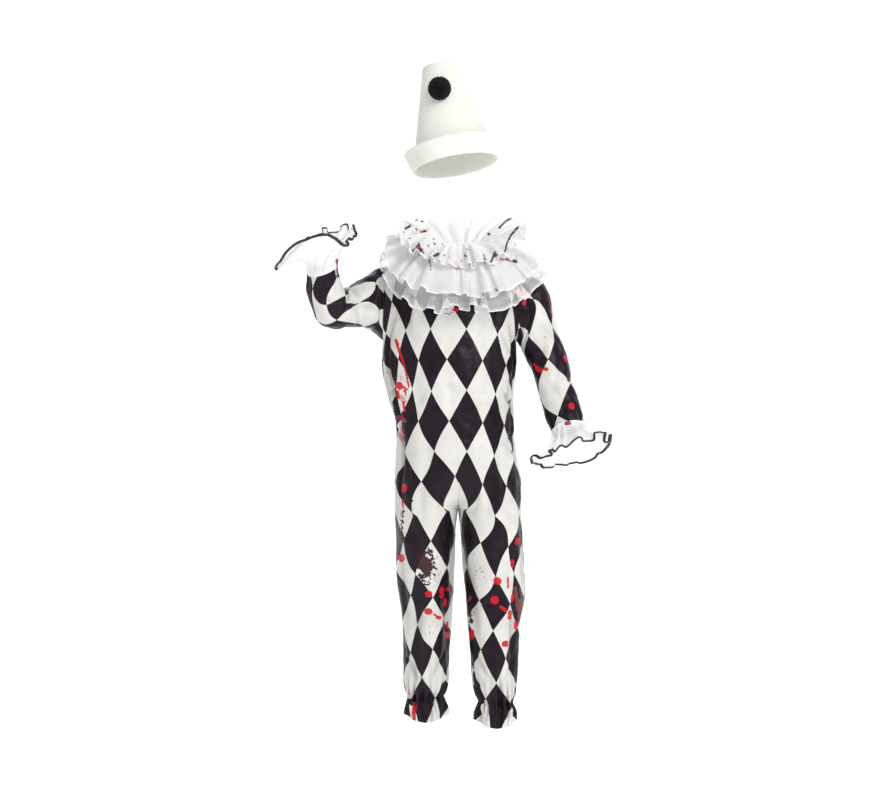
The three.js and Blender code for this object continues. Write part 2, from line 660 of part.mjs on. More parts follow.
// Merges the vertices of a three.js primitive, so that its surface is closed.
function weld(geometry) {
  const grain = 0.001;
  const position = geometry.getAttribute("position");
  const source = geometry.getIndex() ? geometry.getIndex().array : position.array.map((_, i) => i);
  const count = geometry.getIndex() ? source.length : position.count;
  const seen = new Map();
  const points = [];
  const faces = [];
  for (let i = 0; i < count; i += 1) {
    const p = vec().fromBufferAttribute(position, source[i]);
    const key = [p.x, p.y, p.z].map((v) => Math.round(v / grain)).join(" ");
    if (!seen.has(key)) {
      seen.set(key, points.length);
      points.push(p);
    }
    faces.push(seen.get(key));
  }
  const kept = [];
  for (let i = 0; i < faces.length; i += 3) {
    const [a, b, c] = faces.slice(i, i + 3);
    if (a !== b && b !== c && a !== c) kept.push(a, b, c);
  }
  const welded = new THREE.BufferGeometry().setFromPoints(points);
  welded.setIndex(kept);
  return facingOut(welded);
}

// Radius of the crown's outside at a height above the mouth.
function crownRadius(z) {
  const { up, radius } = HAT.swell;
  return z < up ? mix(HAT.mouth, radius, z / up) : mix(radius, HAT.top, (z - up) / (HAT.tall - up));
}

function crownSolid() {
  const outside = [0, HAT.swell.up, HAT.tall].map((z) => [crownRadius(z), z]);
  const inside = outside.map(([r, z]) => [r - FELT, z]).reverse();
  return lathed([...outside, ...inside, outside[0]], HAT.columns);
}

function hatTopSolid() {
  const r = HAT.top;
  const z = HAT.tall + SEAM;
  const rim = FELT / 2;
  return lathed([[0, z], [r - rim, z], [r, z + rim], [r - rim, z + FELT], [0, z + FELT]], HAT.columns);
}

// The brim turns up from the mouth in a rounded fold and flares away from the crown.
function brimSolid() {
  const profile = [...BRIM, BRIM[0]].map((row) => [HAT.mouth + SEAM + row.out, row.z]);
  return lathed(profile, HAT.columns);
}

// Each face of the ball is drawn out into one three-sided lock. Its back lies flat on the felt.
function pompomSolid() {
  const ball = new THREE.IcosahedronGeometry(POMPOM.radius * POMPOM.core, POMPOM.detail);
  const position = ball.getAttribute("position");
  const points = [];
  for (let i = 0; i < position.count; i += 3) {
    const corners = [0, 1, 2].map((k) => vec().fromBufferAttribute(position, i + k));
    const tip = corners[0].clone().add(corners[1]).add(corners[2]).setLength(POMPOM.radius);
    [[0, 1], [1, 2], [2, 0]].forEach(([a, b]) => points.push(corners[a], corners[b], tip));
  }
  const flat = (y) => (y > POMPOM.back ? mix(POMPOM.back, y, POMPOM.squash) : y);
  points.forEach((p) => p.setY(flat(p.y)));
  return weld(new THREE.BufferGeometry().setFromPoints(points));
}

const MATERIALS = {
  satin: { color: 0x8a8688, roughness: 0.42 },
  organza: { color: 0xf4f2f0, roughness: 0.45 },
  binding: { color: 0x16151a, roughness: 0.4 },
  felt: { color: 0xf3f1e8, roughness: 0.92 },
  pompom: { color: 0x121115, roughness: 0.95 },
};

function part(name, geometry, finish) {
  const material = new THREE.MeshStandardMaterial({ metalness: 0, ...MATERIALS[finish] });
  const mesh = new THREE.Mesh(geometry, material);
  mesh.name = name;
  return mesh;
}

const costume = new THREE.Group();

for (const panel of suitPanels()) costume.add(part(panel.name, panelSolid(panel), "satin"));
costume.add(part("back_placket", placketSolid(), "satin"));

const SLEEVES = [
  { word: "right", hole: ARMHOLE_RIGHT, table: SLEEVE_RIGHT, hem: FLOUNCE_RIGHT },
  { word: "left", hole: ARMHOLE_LEFT, table: SLEEVE_LEFT, hem: FLOUNCE_LEFT },
];
for (const { word, hole, table, hem } of SLEEVES) {
  const sleeve = sleeveRings(hole, table);
  const flounce = flounceGrid(sleeve, hem);
  costume.add(part("sleeve_" + word, sleeveSolid(sleeve, hole), "satin"));
  costume.add(part("cuff_flounce_" + word, ringSolid(flounce, SHEER), "organza"));
  costume.add(part("cuff_binding_" + word, ringSolid(bindingGrid(flounce), CUFF.bindingWall), "binding"));
}

costume.add(part("neck_band", ringSolid(bandGrid(), CLOTH), "organza"));
for (const tier of TIERS) {
  costume.add(part(tier.name, tierSolid(tier), "organza"));
}

const hat = new THREE.Group();
hat.position.set(HAT.x, HAT.y, HAT.z);
hat.rotation.set(rad(-HAT.leanBack), rad(-HAT.leanSide), 0);
hat.add(part("hat_crown", crownSolid(), "felt"));
hat.add(part("hat_top", hatTopSolid(), "felt"));
hat.add(part("hat_brim", brimSolid(), "felt"));
// The pompom's flat back lies just off one of the crown's flats, leaning with its slope.
const pompom = part("hat_pompom", pompomSolid(), "pompom");
const slope = Math.atan((HAT.swell.radius - HAT.top) / (HAT.tall - HAT.swell.up));
pompom.geometry.computeBoundingBox();
const stand = pompom.geometry.boundingBox.max.y + SEAM;
const felt = crownRadius(POMPOM.up) * Math.cos(Math.PI / HAT.columns);
const reach = felt + stand * Math.cos(slope);
const turned = rad(POMPOM.turn);
pompom.position.set(reach * Math.sin(turned), -reach * Math.cos(turned), POMPOM.up + stand * Math.sin(slope));
pompom.rotation.set(-slope, 0, turned, "ZYX");
hat.add(pompom);
costume.add(hat);

export default costume;
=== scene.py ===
import math

import bpy
import numpy as np
from mathutils import Euler, Matrix, Vector


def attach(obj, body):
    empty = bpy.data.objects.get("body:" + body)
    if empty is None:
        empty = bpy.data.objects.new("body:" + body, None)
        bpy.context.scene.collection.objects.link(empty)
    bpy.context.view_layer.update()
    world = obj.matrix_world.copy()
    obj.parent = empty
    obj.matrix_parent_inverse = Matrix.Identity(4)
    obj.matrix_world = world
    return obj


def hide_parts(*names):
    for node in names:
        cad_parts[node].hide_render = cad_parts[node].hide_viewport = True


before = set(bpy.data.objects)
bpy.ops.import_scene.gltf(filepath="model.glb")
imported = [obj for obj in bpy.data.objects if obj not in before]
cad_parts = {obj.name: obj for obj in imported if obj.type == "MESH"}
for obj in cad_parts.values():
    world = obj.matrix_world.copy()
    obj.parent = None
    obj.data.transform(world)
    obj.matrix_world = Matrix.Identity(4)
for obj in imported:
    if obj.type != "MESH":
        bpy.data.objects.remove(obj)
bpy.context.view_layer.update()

bl_info = {
    "name": "Pierrot Costume",
    "version": (1, 0, 0),
    "blender": (4, 5, 0),
    "location": "View3D > Sidebar > Costume",
    "description": "A child's pierrot costume: diamond suit, sheer cuffs and collar, felt hat with a pompom",
    "category": "Add Mesh",
}

# The costume hangs in its worn form: right arm raised, left arm down, nobody in it.
# Tables and lengths are in millimetres, +Z up, the front towards -Y, the origin at the neckline.
MM = 0.001
TAU = 2 * math.pi


def table(names, *rows):
    """Columns of a short table by name, each an array."""
    return {name: np.array([row[k] for row in rows], float) for k, name in enumerate(names.split())}


def tables(names, **groups):
    """Tables with the same columns, each by its own name."""
    return {word: table(names, *rows) for word, rows in groups.items()}


# Suit sections below the armholes: height, middle, half width, depth to front and back.
TRUNK = table(
    "z middle half front back",
    (-187, -17.6, 140, 90, 88), (-233, -17.6, 141, 94, 90), (-294, -16, 132, 95, 86),
    (-357, -8, 125, 94, 86), (-418, -3.8, 126, 95, 92), (-496, 0, 133, 93, 98), (-560, 0, 133, 90, 98),
)
TRUNK_FULLNESS = 0.92

# The fork, where the two legs part: the centre seams run under along a quarter ellipse.
FORK = {"top": -440, "centre": -538, "side": -556, "fill": 0.1, "settle": 80, "blend": 30}

# Leg sections: height, axis, half width and depth.
LEG_RIGHT = table(
    "z x y half depth",
    (-556, -66.5, 0, 66, 83), (-606, -68, 2, 62, 76), (-672, -69.3, 6, 59.5, 68),
    (-736, -67.6, 12, 55.5, 61), (-784, -66.3, 17, 52.5, 57), (-842, -66.6, 22, 50, 54),
    (-892, -67, 26, 47.5, 50), (-920, -68.5, 28, 43, 45), (-938, -70, 29, 35, 37),
    (-948, -69, 29, 39, 41), (-964, -67.5, 30, 42, 45), (-985, -67.5, 30, 43, 47),
)
LEG_LEFT = table(
    "z x y half depth",
    (-556, 66.5, 0, 66, 83), (-606, 71, -2, 66.5, 77), (-662, 75, -6, 66.5, 71),
    (-728, 77.5, -12, 61.5, 64), (-776, 75, -17, 55, 59), (-834, 74.6, -22, 50.5, 54),
    (-888, 76, -26, 47.5, 50), (-920, 78.5, -28, 43, 45), (-938, 80.5, -29, 35, 37),
    (-948, 81, -29, 39, 41), (-964, 80, -30, 40, 45), (-985, 79, -30, 41, 47),
)
HEM_WAVES = {"count": 6, "height": 6, "from": -940, "to": -970}

# Neckline and shoulders.
NECK = {"x": 4, "wide": 60, "front": 58, "back": 54, "z_front": -16, "z_side": 0, "z_back": -4}
NECK_SHARE = 0.5
YOKE_ROUND = {"centre": 0.85, "shoulder": 0.5}
ARMHOLE_RIGHT = {"side": -1, "tip": (-152, 2, -30), "pit_x": -157.6, "pit_z": -187, "deep": 54}
ARMHOLE_LEFT = {"side": 1, "tip": (134, 2, -40), "pit_x": 122.4, "pit_z": -187, "deep": 54}

# Grid of one panel: columns across it, and rows in yoke, trunk, fork, leg and ankle.
PANEL_COLUMNS = 72
YOKE_ROWS = 26
TRUNK_ROWS = 62
FORK_ROWS = 30
FORK_ROW = YOKE_ROWS + TRUNK_ROWS + FORK_ROWS
LEG_ROWS = 82
ANKLE_ROWS = 44
ANKLE_FROM = -884
SEW_GAP = 0.12

# Elastic gathers above each ankle: folds on each panel, depth, and how far they fade up and down.
GATHERS = {"count": 9, "deep": 5.8, "z": -938, "up": 38, "down": 30}
# The hem's edge below the elastic: how high it lifts, its ripple, where that starts and over what.
HEM_LIFT = {"high": 9, "ripple": 2, "below": 10, "over": 37}

# Panels by name: side, less than 0 on the wearer's right, and face, less than 0 in front.
PANELS = {"front_right": (-1, -1), "front_left": (1, -1), "back_right": (-1, 1), "back_left": (1, 1)}
SIDE_WORDS = {-1: "right", 1: "left"}
LEGS = {-1: LEG_RIGHT, 1: LEG_LEFT}
HOLES = {-1: ARMHOLE_RIGHT, 1: ARMHOLE_LEFT}

# The cloth dips along its seams: depth, widths as shares of a panel, and how much the centre's dips.
SEAM_DIP = {"deep": 1.2, "side": 0.018, "centre": 0.014, "centre_share": 0.35, "above_pit": 40}
SLEEVE_SEAM_DIP = {"deep": 0.9, "wide": 2.6}

# Unevenness of the worn cloth: height, size of a bump, seed of its draws, stretch in x, y and z.
SUIT_RIPPLES = ((1.7, 70, 11, (1, 1, 2.2)), (0.55, 26, 12, (1, 1, 1.5)))
SLEEVE_RIPPLES = ((1.3, 60, 21, (1, 1, 1)), (0.5, 24, 22, (1, 1, 1)))

# Seeds of the random draws of hems and pompom.
SEEDS = {"cuffs": (31, 32), "tiers": (41, 42, 43), "pompom": 7}

# Painted shade on the satin's white: how deep a gather or a fold is where its painted shade is darkest, and
# how strong the folds' painted shade is next to the gathers'.
PAINTED_SHADE = {"gathers": 4, "folds": 8, "share": 0.5}

# What a gathered strip's worked-out size has to spare, in metres, and its least area for that size.
FRILL = {"spare": 0.002, "least": 0.301}

# The strip over the back opening, which lies on the satin, and the groove along its stitches.
SATIN_WALL = 1.5
PLACKET = {"half_width": 12, "length": 340, "proud": 0.5, "columns": 14, "wall": 1.2}
STITCHES = {"in": 2.5, "wide": 0.9, "deep": 0.5}

# Folds of the suit: place across the panel from centre (0) to side seam (1), height, half length,
# half width as a share of the panel, depth (less than 0 stands out), slant across for each mm down.
FOLDS = tables(
    "at z long wide deep slant",
    front_right=(
        (0.72, -255, 90, 0.06, 12, -0.0004), (0.63, -262, 80, 0.045, -5, -0.0004),
        (0.9, -330, 80, 0.05, 9, 0.0003), (0.84, -300, 30, 0.05, 5, 0.008),
        (0.84, -372, 26, 0.05, 4.5, -0.009), (0.7, -400, 90, 0.04, 7, 0.0003),
        (0.6, -395, 80, 0.05, -3, 0.0003), (0.3, -470, 60, 0.07, 3, 0.001),
        (0.18, -505, 34, 0.05, 5, 0.003), (0.45, -520, 55, 0.06, 3.5, 0.0022),
        (0.62, -800, 110, 0.08, 7, 0.0006), (0.5, -790, 100, 0.06, -4, 0.0006),
        (0.8, -690, 90, 0.06, 5, -0.0002), (0.2, -760, 80, 0.09, 6, -0.0008),
        (0.1, -660, 60, 0.06, 5, -0.0006), (0.33, -870, 40, 0.05, 4, 0.004),
        (0.72, -872, 40, 0.05, 4, -0.004), (0.55, -610, 50, 0.08, 3, -0.003),
        (0.4, -330, 40, 0.06, 2.2, 0.004), (0.5, -140, 40, 0.06, 4, -0.003),
    ),
    front_left=(
        (0.84, -232, 60, 0.06, 11, 0.0012), (0.74, -240, 60, 0.05, -4, 0.0014),
        (0.68, -205, 40, 0.05, 5, 0.004), (0.9, -350, 90, 0.05, 9, 0), (0.82, -318, 24, 0.06, 6, 0.009),
        (0.86, -372, 24, 0.05, 5, -0.01), (0.84, -430, 26, 0.05, 5, 0.009),
        (0.8, -400, 90, 0.04, 6, 0.0002), (0.72, -300, 60, 0.05, 3.5, -0.001),
        (0.4, -460, 60, 0.07, 3, -0.001), (0.18, -505, 34, 0.05, 5, 0.003),
        (0.42, -520, 55, 0.06, 3.5, 0.0022), (0.2, -720, 90, 0.09, 6, 0.0006),
        (0.1, -640, 60, 0.06, 5, 0.0006), (0.75, -800, 100, 0.08, 7, 0.0005),
        (0.64, -790, 90, 0.06, -4, 0.0005), (0.88, -640, 80, 0.06, 6, 0),
        (0.35, -868, 44, 0.05, 4.5, 0.004), (0.7, -872, 40, 0.05, 4, -0.004),
        (0.5, -610, 50, 0.08, 3, 0.003), (0.5, -350, 40, 0.06, 2.2, -0.004),
        (0.5, -140, 40, 0.06, 4, -0.003),
    ),
    back_right=(
        (0.75, -270, 90, 0.08, 8, 0.0003), (0.6, -250, 70, 0.05, 4, -0.001),
        (0.35, -420, 80, 0.06, 5, 0.001), (0.2, -520, 40, 0.06, 6, 0.004),
        (0.5, -560, 50, 0.07, 5, 0.003), (0.5, -760, 60, 0.12, 7, -0.001),
        (0.3, -700, 70, 0.06, 4, 0.002), (0.7, -680, 80, 0.06, 4, -0.001),
        (0.4, -850, 50, 0.06, 5, 0.003), (0.7, -870, 40, 0.06, 4, -0.003),
    ),
    back_left=(
        (0.75, -270, 90, 0.08, 8, 0.0003), (0.55, -235, 70, 0.05, 4, -0.0012),
        (0.4, -400, 80, 0.06, 5, 0.001), (0.22, -515, 40, 0.06, 6, 0.004),
        (0.5, -565, 50, 0.07, 5, 0.003), (0.5, -760, 60, 0.12, 7, 0.001),
        (0.3, -715, 70, 0.06, 4, -0.002), (0.72, -690, 80, 0.06, 4, 0.001),
        (0.38, -855, 50, 0.06, 5, 0.003), (0.7, -868, 40, 0.06, 4, -0.003),
    ),
)

# Sleeve sections, shoulder to wrist: point on the outer line, point on the inner line, half width across.
SLEEVE_LEFT = table(
    "ox oy oz ix iy iz cross",
    (180, 0, -66, 126, -2, -193, 53), (195, -3, -100, 129, -4, -199, 51),
    (204, -8, -150, 134, -8, -208, 48), (221, -15, -200, 141, -15, -220, 45),
    (232, -24, -240, 152, -24, -250, 43), (240, -36, -282, 164, -36, -292, 40),
    (252, -54, -322, 176, -54, -334, 37), (259, -75, -361, 190, -76, -378, 35),
)
SLEEVE_RIGHT = table(
    "ox oy oz ix iy iz cross",
    (-173, -22, -38, -172, -16, -172, 53), (-198, -52, -60, -190, -42, -164, 49),
    (-220, -84, -80, -218, -72, -163, 45), (-231, -104, -88, -250, -102, -167, 42),
    (-235, -115, -86, -279, -127, -159, 40), (-238, -126, -78, -296, -140, -130, 38),
    (-241, -139, -60, -303, -150, -96, 35), (-243, -152, -38, -302, -159, -62, 33),
)
SLEEVE_TURN = 0.4
SLEEVE_ROWS = 110
SLEEVE_COLUMNS = 132
# Column of the seam, behind the arm, and of the middle of the front, counted on from the seam.
SLEEVE_SEAM = 93
SLEEVE_FRONT = SLEEVE_COLUMNS * 5 // 4 - SLEEVE_SEAM

# Folds of the sleeves: share of the way to the wrist, degrees round from the outer line by the front,
# half length along the sleeve as a share, half width in degrees, depth, degrees of slant for each share.
SLEEVE_FOLDS = tables(
    "at turn long wide deep slant",
    left=(
        (0.14, 150, 0.16, 12, 6, 180), (0.22, 120, 0.14, 10, 4, 200), (0.4, 60, 0.12, 12, 3, -220),
        (0.55, 110, 0.1, 12, 3.5, 260), (0.66, 70, 0.1, 11, 3, 260), (0.8, 100, 0.08, 12, 3, -240),
        (0.5, 250, 0.14, 14, 4, 200), (0.75, 290, 0.12, 14, 4, -200),
        *((0.96, turn, 0.05, 9, 2.5, 0) for turn in (40, 95, 150, 230, 310)),
    ),
    right=(
        (0.2, 60, 0.14, 12, 4, 200), (0.34, 90, 0.12, 11, 3.5, -200), (0.6, 20, 0.034, 62, 8, 0),
        (0.555, 40, 0.026, 55, -3.5, 0), (0.66, 30, 0.03, 50, -3, 0), (0.52, 50, 0.026, 40, 3, 0),
        (0.47, 80, 0.04, 26, 3, -500), (0.43, 30, 0.03, 30, 3, 0), (0.47, 150, 0.05, 20, 3, -400),
        (0.78, 100, 0.1, 10, 3, 240), (0.86, 60, 0.1, 10, 3, -200), (0.6, 250, 0.1, 16, 4, 200),
        (0.3, 200, 0.14, 14, 4, 160),
        *((0.96, turn, 0.05, 9, 2.5, 0) for turn in (40, 100, 170, 250, 320)),
    ),
)

# Hems of the cuff flounces: eight points round the wrist, the first on the outer line, and how strongly
# the hem waves at each.
FLOUNCE_LEFT = table(
    "x y z lively",
    (306, -85, -393, 0.7), (280, -142, -383, 1.4), (225, -165, -395, 0.3), (183, -143, -415, 0.8),
    (152, -85, -434, 0.45), (182, -35, -446, 0.45), (230, -15, -443, 0.2), (278, -35, -430, 0.25),
)
FLOUNCE_RIGHT = table(
    "x y z lively",
    (-221, -108, 36, 1.3), (-209, -150, 23, 0.9), (-233, -198, -5, 0.5), (-260, -214, 10, 0.15),
    (-321, -207, -7, 0.1), (-362, -160, -47, 0.2), (-306, -108, 14, 0.25), (-263, -90, 36, 0.8),
)
CUFF = {"waves": 9, "steps": 32, "rows": 26, "height": 8, "lean": 0.5, "wander": 0.2}
CUFF_BINDING = {"wide": 6.8, "thick": 4, "gap": 0.5, "sides": 12}
# How quickly the denser cloth at a flounce's wrist and hem and at a tier's hem fades, as shares.
EDGE_FADE = {"wrist": 0.05, "hem": 0.03, "tier": 0.02}

# Pleats of collar and cuffs, as on the solids, and the finer gathers where they are sewn on.
PLEAT = {"start": 0.125, "steep": 0.9, "deepen": 0.8, "uneven": 0.25, "beats": 5}
OVERLAP = 0.06
SMALL_GATHERS = {"deep": 1.5, "fade": 3, "length": 0.25, "a_wave": 3}
HEM_CURL = {"deep": 1.2, "late": 8, "a_wave": 2.5}
# How unevenly a hem waves: sizes of the changes in place and height, on a circle of that radius.
LIVELY = {"radius": 100, "place": 46, "height": 95, "share": 0.55, "least": 0.3, "most": 1.5}

# Collar: neck band and three tiers. Each hem runs from the front round by the wearer's left.
BAND = {"front": 14, "back": 16, "lean": 0.97, "columns": 360, "rows": 12, "wall": 0.8, "gathers": 60}
BAND_SHAPE = {"bulge": 1.1, "in": 0.9, "frill": 1.6}
# The tiers' rolled hems, and how far back in y a tier still shows its spots.
ROLL = {"out": 0.6, "thick": 1.3, "sides": 8}
COLLAR_FRONT = 60
TIER_LOWER = table(
    "x y z",
    (12, -138, -124), (88, -124, -128), (155, -72, -86), (186, -4, -48), (138, 78, -56), (4, 128, -92),
    (-118, 84, -54), (-160, 14, 0), (-150, -66, -66), (-72, -128, -128),
)
TIER_MIDDLE = table(
    "x y z",
    (14, -141, -98), (84, -129, -94), (144, -78, -58), (168, -2, -18), (120, 80, -26), (4, 122, -58),
    (-104, 80, -8), (-145, 12, 28), (-142, -70, -44), (-74, -130, -86),
)
TIER_UPPER = table(
    "x y z",
    (8, -120, -38), (74, -110, -26), (128, -62, 20), (140, 6, 56), (98, 68, 74), (4, 96, 66),
    (-86, 68, 72), (-128, 4, 54), (-122, -66, 22), (-66, -112, -20),
)
TIERS = (
    {"word": "lower", "hem": TIER_LOWER, "waves": 20, "height": 9, "root": 0.22, "arch": 18, "cloth": 0.0},
    {"word": "middle", "hem": TIER_MIDDLE, "waves": 20, "height": 8, "root": 0.55, "arch": 25, "cloth": 0.3},
    {"word": "upper", "hem": TIER_UPPER, "waves": 20, "height": 8, "root": 0.9, "arch": 16, "cloth": 0.45},
)
TIER_KNEE = 0.45
TIER_ROWS = 34
TIER_COLUMNS_A_WAVE = 24

# Hat: place and lean in degrees, crown radii and heights, and how the brim stands out from the mouth.
HAT = {"x": -5, "y": 22, "z": 187, "lean_side": 10, "lean_back": 6}
CROWN = {"mouth": 86, "swell_up": 36, "swell": 82, "top": 33.5, "tall": 216, "wall": 2.4, "round": 0.7}
CROWN_SIDES = 96
BRIM = {"foot": 1.6, "from": 5, "fold": 3, "flare": 14.6, "rise": 37, "steps": 7, "wall": 2.2, "round": 0.6}
# The rounded fold at the brim's foot: steps out and up.
BRIM_FOLD = ((0, -5), (0.8, -2), (2.2, -0.6), (1.4, 1.4))
TOP_DISC = {"above": 0.3, "inset": 2.0, "round": 1.0}
POMPOM = {"radius": 25, "up": 142, "turn": -6, "strands": 1500, "back": 18, "gap": 0.7}

# Stage, in metres: the paper's sheet and its rise, and the lamps' places, widths and watts.
PAPER = {"size": 12, "middle": -2, "edge": 3.9, "rise": 6, "round": 1.6}
LAMPS = (
    ("Key", (1.7, -2.6, 1.4), 1.5, 74),
    ("Fill", (-2.4, -2.6, 0.4), 2.6, 12),
    ("Back", (0.4, 2.6, 1.8), 2.4, 22),
)
LAMP_TARGET = (0, 0, -0.35)
SKY = 0.46

# Diamond print. Heights of its tip rows on the trunk and legs: row 0 is a tip of the white centre column.
PRINT_ROWS = table(
    "z row",
    (-163, -0.5), (-227, 0), (-292, 0.5), (-354.5, 1), (-416, 1.5), (-470, 2), (-537, 2.5), (-601, 3),
    (-660, 3.5), (-717, 4), (-778, 4.5), (-826, 5), (-897, 5.5), (-950, 6), (-1000, 6.5),
)
ROW_HEIGHT = 129
CENTRE_SHIFT = 7
# Column of the print on each leg's front line, by height.
LEG_COLUMN = tables(
    "z column",
    right=((-560, -1.15), (-700, -1.18), (-850, -1.2), (-985, -1.2)),
    left=((-560, 1.42), (-700, 1.42), (-850, 1.335), (-985, 1.33)),
)
# Print on the sleeves: distance along the sleeve's middle, tip row, shift of the column at the front.
SLEEVE_PRINT = tables(
    "s row shift",
    left=((-20, -0.35, 25), (12, 0, 25), (125, 1, 0), (245, 2, -15), (330, 2.75, -15)),
    right=((-30, -0.4, 0), (68, 0.5, 0), (165, 1.5, 0), (260, 2.5, 0), (300, 2.9, 0)),
)
SLEEVE_COLUMN = {"left": 0.0, "right": 0.5}

# Tips of the front's printed diamonds, from the photograph, in its pixels, with the print's
# column and row at each: the print is eased to them, as the worn cloth is pulled and tucked.
TIP_COLUMNS = "x y column row"
# How far each tip draws the print, and the photograph's row below which each leg has its own tips.
TIP_REACH = {"suit": 42, "sleeve": 30}
LEGS_BELOW = 490
TIPS_TORSO = table(
    TIP_COLUMNS,
    (386.8, 333.5, -2.5, -0.5), (405.6, 332, -1.5, -0.5), (430.7, 328.3, -0.5, -0.5),
    (466, 328.3, 0.5, -0.5), (497.6, 334.6, 1.5, -0.5), (382.7, 359.9, -3, 0), (418.4, 360.4, -1, 0),
    (447, 359.3, 0, 0), (482.8, 360.6, 1, 0), (505.7, 365.8, 2, 0), (397.3, 385.5, -2.5, 0.5),
    (411, 390, -1.5, 0.5), (432.2, 390.9, -0.5, 0.5), (466, 390.3, 0.5, 0.5), (495.9, 394.2, 1.5, 0.5),
    (418.4, 421.5, -1, 1), (449, 421, 0, 1), (483.2, 423.2, 1, 1), (503.5, 425.8, 2, 1),
    (406, 452.4, -1.5, 1.5), (434.4, 451.6, -0.5, 1.5), (466.2, 452, 0.5, 1.5),
    (494.8, 455.7, 1.5, 1.5), (513.1, 457, 2.5, 1.5), (421.9, 481.9, -1, 2), (455.1, 476.2, 0, 2),
    (482.8, 485.2, 1, 2), (505.7, 486.5, 2, 2),
)
TIPS_LEGS = tables(
    TIP_COLUMNS,
    right=(
        (411.5, 512.5, -1.5, 2.5), (443.8, 508, -0.5, 2.5), (430.4, 541.5, -1, 3), (404, 542, -2, 3),
        (447.3, 567, -0.5, 3.5), (414.3, 574.5, -1.5, 3.5), (397.6, 568.2, -2.5, 3.5),
        (431.8, 597.8, -1, 4), (412.7, 594.8, -2, 4), (444.2, 619, -0.5, 4.5),
        (415.6, 625.8, -1.5, 4.5), (403.6, 622.7, -2.5, 4.5), (433.1, 649, -1, 5),
        (411.8, 652.7, -2, 5), (420.4, 678.2, -1.5, 5.5), (403.6, 675.5, -2.5, 5.5),
        (434.5, 697.3, -1, 6), (413.6, 698.2, -2, 6), (404, 712, -2.5, 6.15), (412.5, 718, -2.2, 6.2),
        (416.5, 718, -1.8, 6.2), (421, 720, -1.5, 6.3), (430, 715, -1.28, 6.28),
        (440, 714, -0.72, 6.28),
    ),
    left=(
        (467.8, 508.3, 0.5, 2.5), (495.2, 515.7, 1.5, 2.5), (519.5, 512.7, 2.5, 2.5),
        (481, 542.7, 1, 3), (508.1, 547, 2, 3), (467.3, 567.3, 0.5, 3.5), (496.9, 577.2, 1.5, 3.5),
        (513, 572.9, 2.5, 3.5), (479.3, 600.4, 1, 4), (510.3, 604.5, 2, 4), (468.5, 619.1, 0.5, 4.5),
        (492.5, 631, 1.5, 4.5), (517.2, 627.3, 2.5, 4.5), (482.4, 651.5, 1, 5), (505, 658.2, 2, 5),
        (473.3, 668.8, 0.5, 5.5), (495.5, 685, 1.5, 5.5), (516.4, 683.6, 2.5, 5.5),
        (488.2, 698.2, 1, 6), (507.3, 702.7, 2, 6), (477.5, 718, 0.7, 6.3), (489, 720, 1.3, 6.3),
        (506, 720, 1.7, 6.3), (515, 718, 2.3, 6.3),
    ),
)
TIPS_SLEEVES = tables(
    TIP_COLUMNS,
    left=(
        (533.4, 298.9, 0, 0), (552.8, 326.4, 0.5, 0.5), (528.8, 335.6, -0.5, 0.5), (548.2, 359.8, 0, 1),
        (569.7, 383.1, 0.5, 1.5), (539, 396.9, -0.5, 1.5), (557.4, 416, 0, 2),
    ),
    right=(
        (361.8, 301.5, 0.5, 0.5), (377, 283, 0, 0), (335, 321.3, 1, 1), (343.5, 295.5, 0, 1),
        (327, 306, 0.5, 1.5), (312.8, 286.8, 1, 2), (337, 279, 0, 2), (328, 262.5, 0.5, 2.24),
        (318, 268, 0.83, 2.17), (335, 266, 0.19, 2.19), (319, 320, 1.45, 1.5), (361, 325, 1.42, 0.56),
        (345, 326, 1.4, 1), (348, 322.5, 1.25, 0.75),
    ),
)

# The camera stands level in front of the costume. The photograph is 880 by 800 pixels.
CAMERA = {"x": -38, "z": -311, "away": 3300, "mm_a_pixel": 2.1, "middle_x": 440, "middle_y": 400}
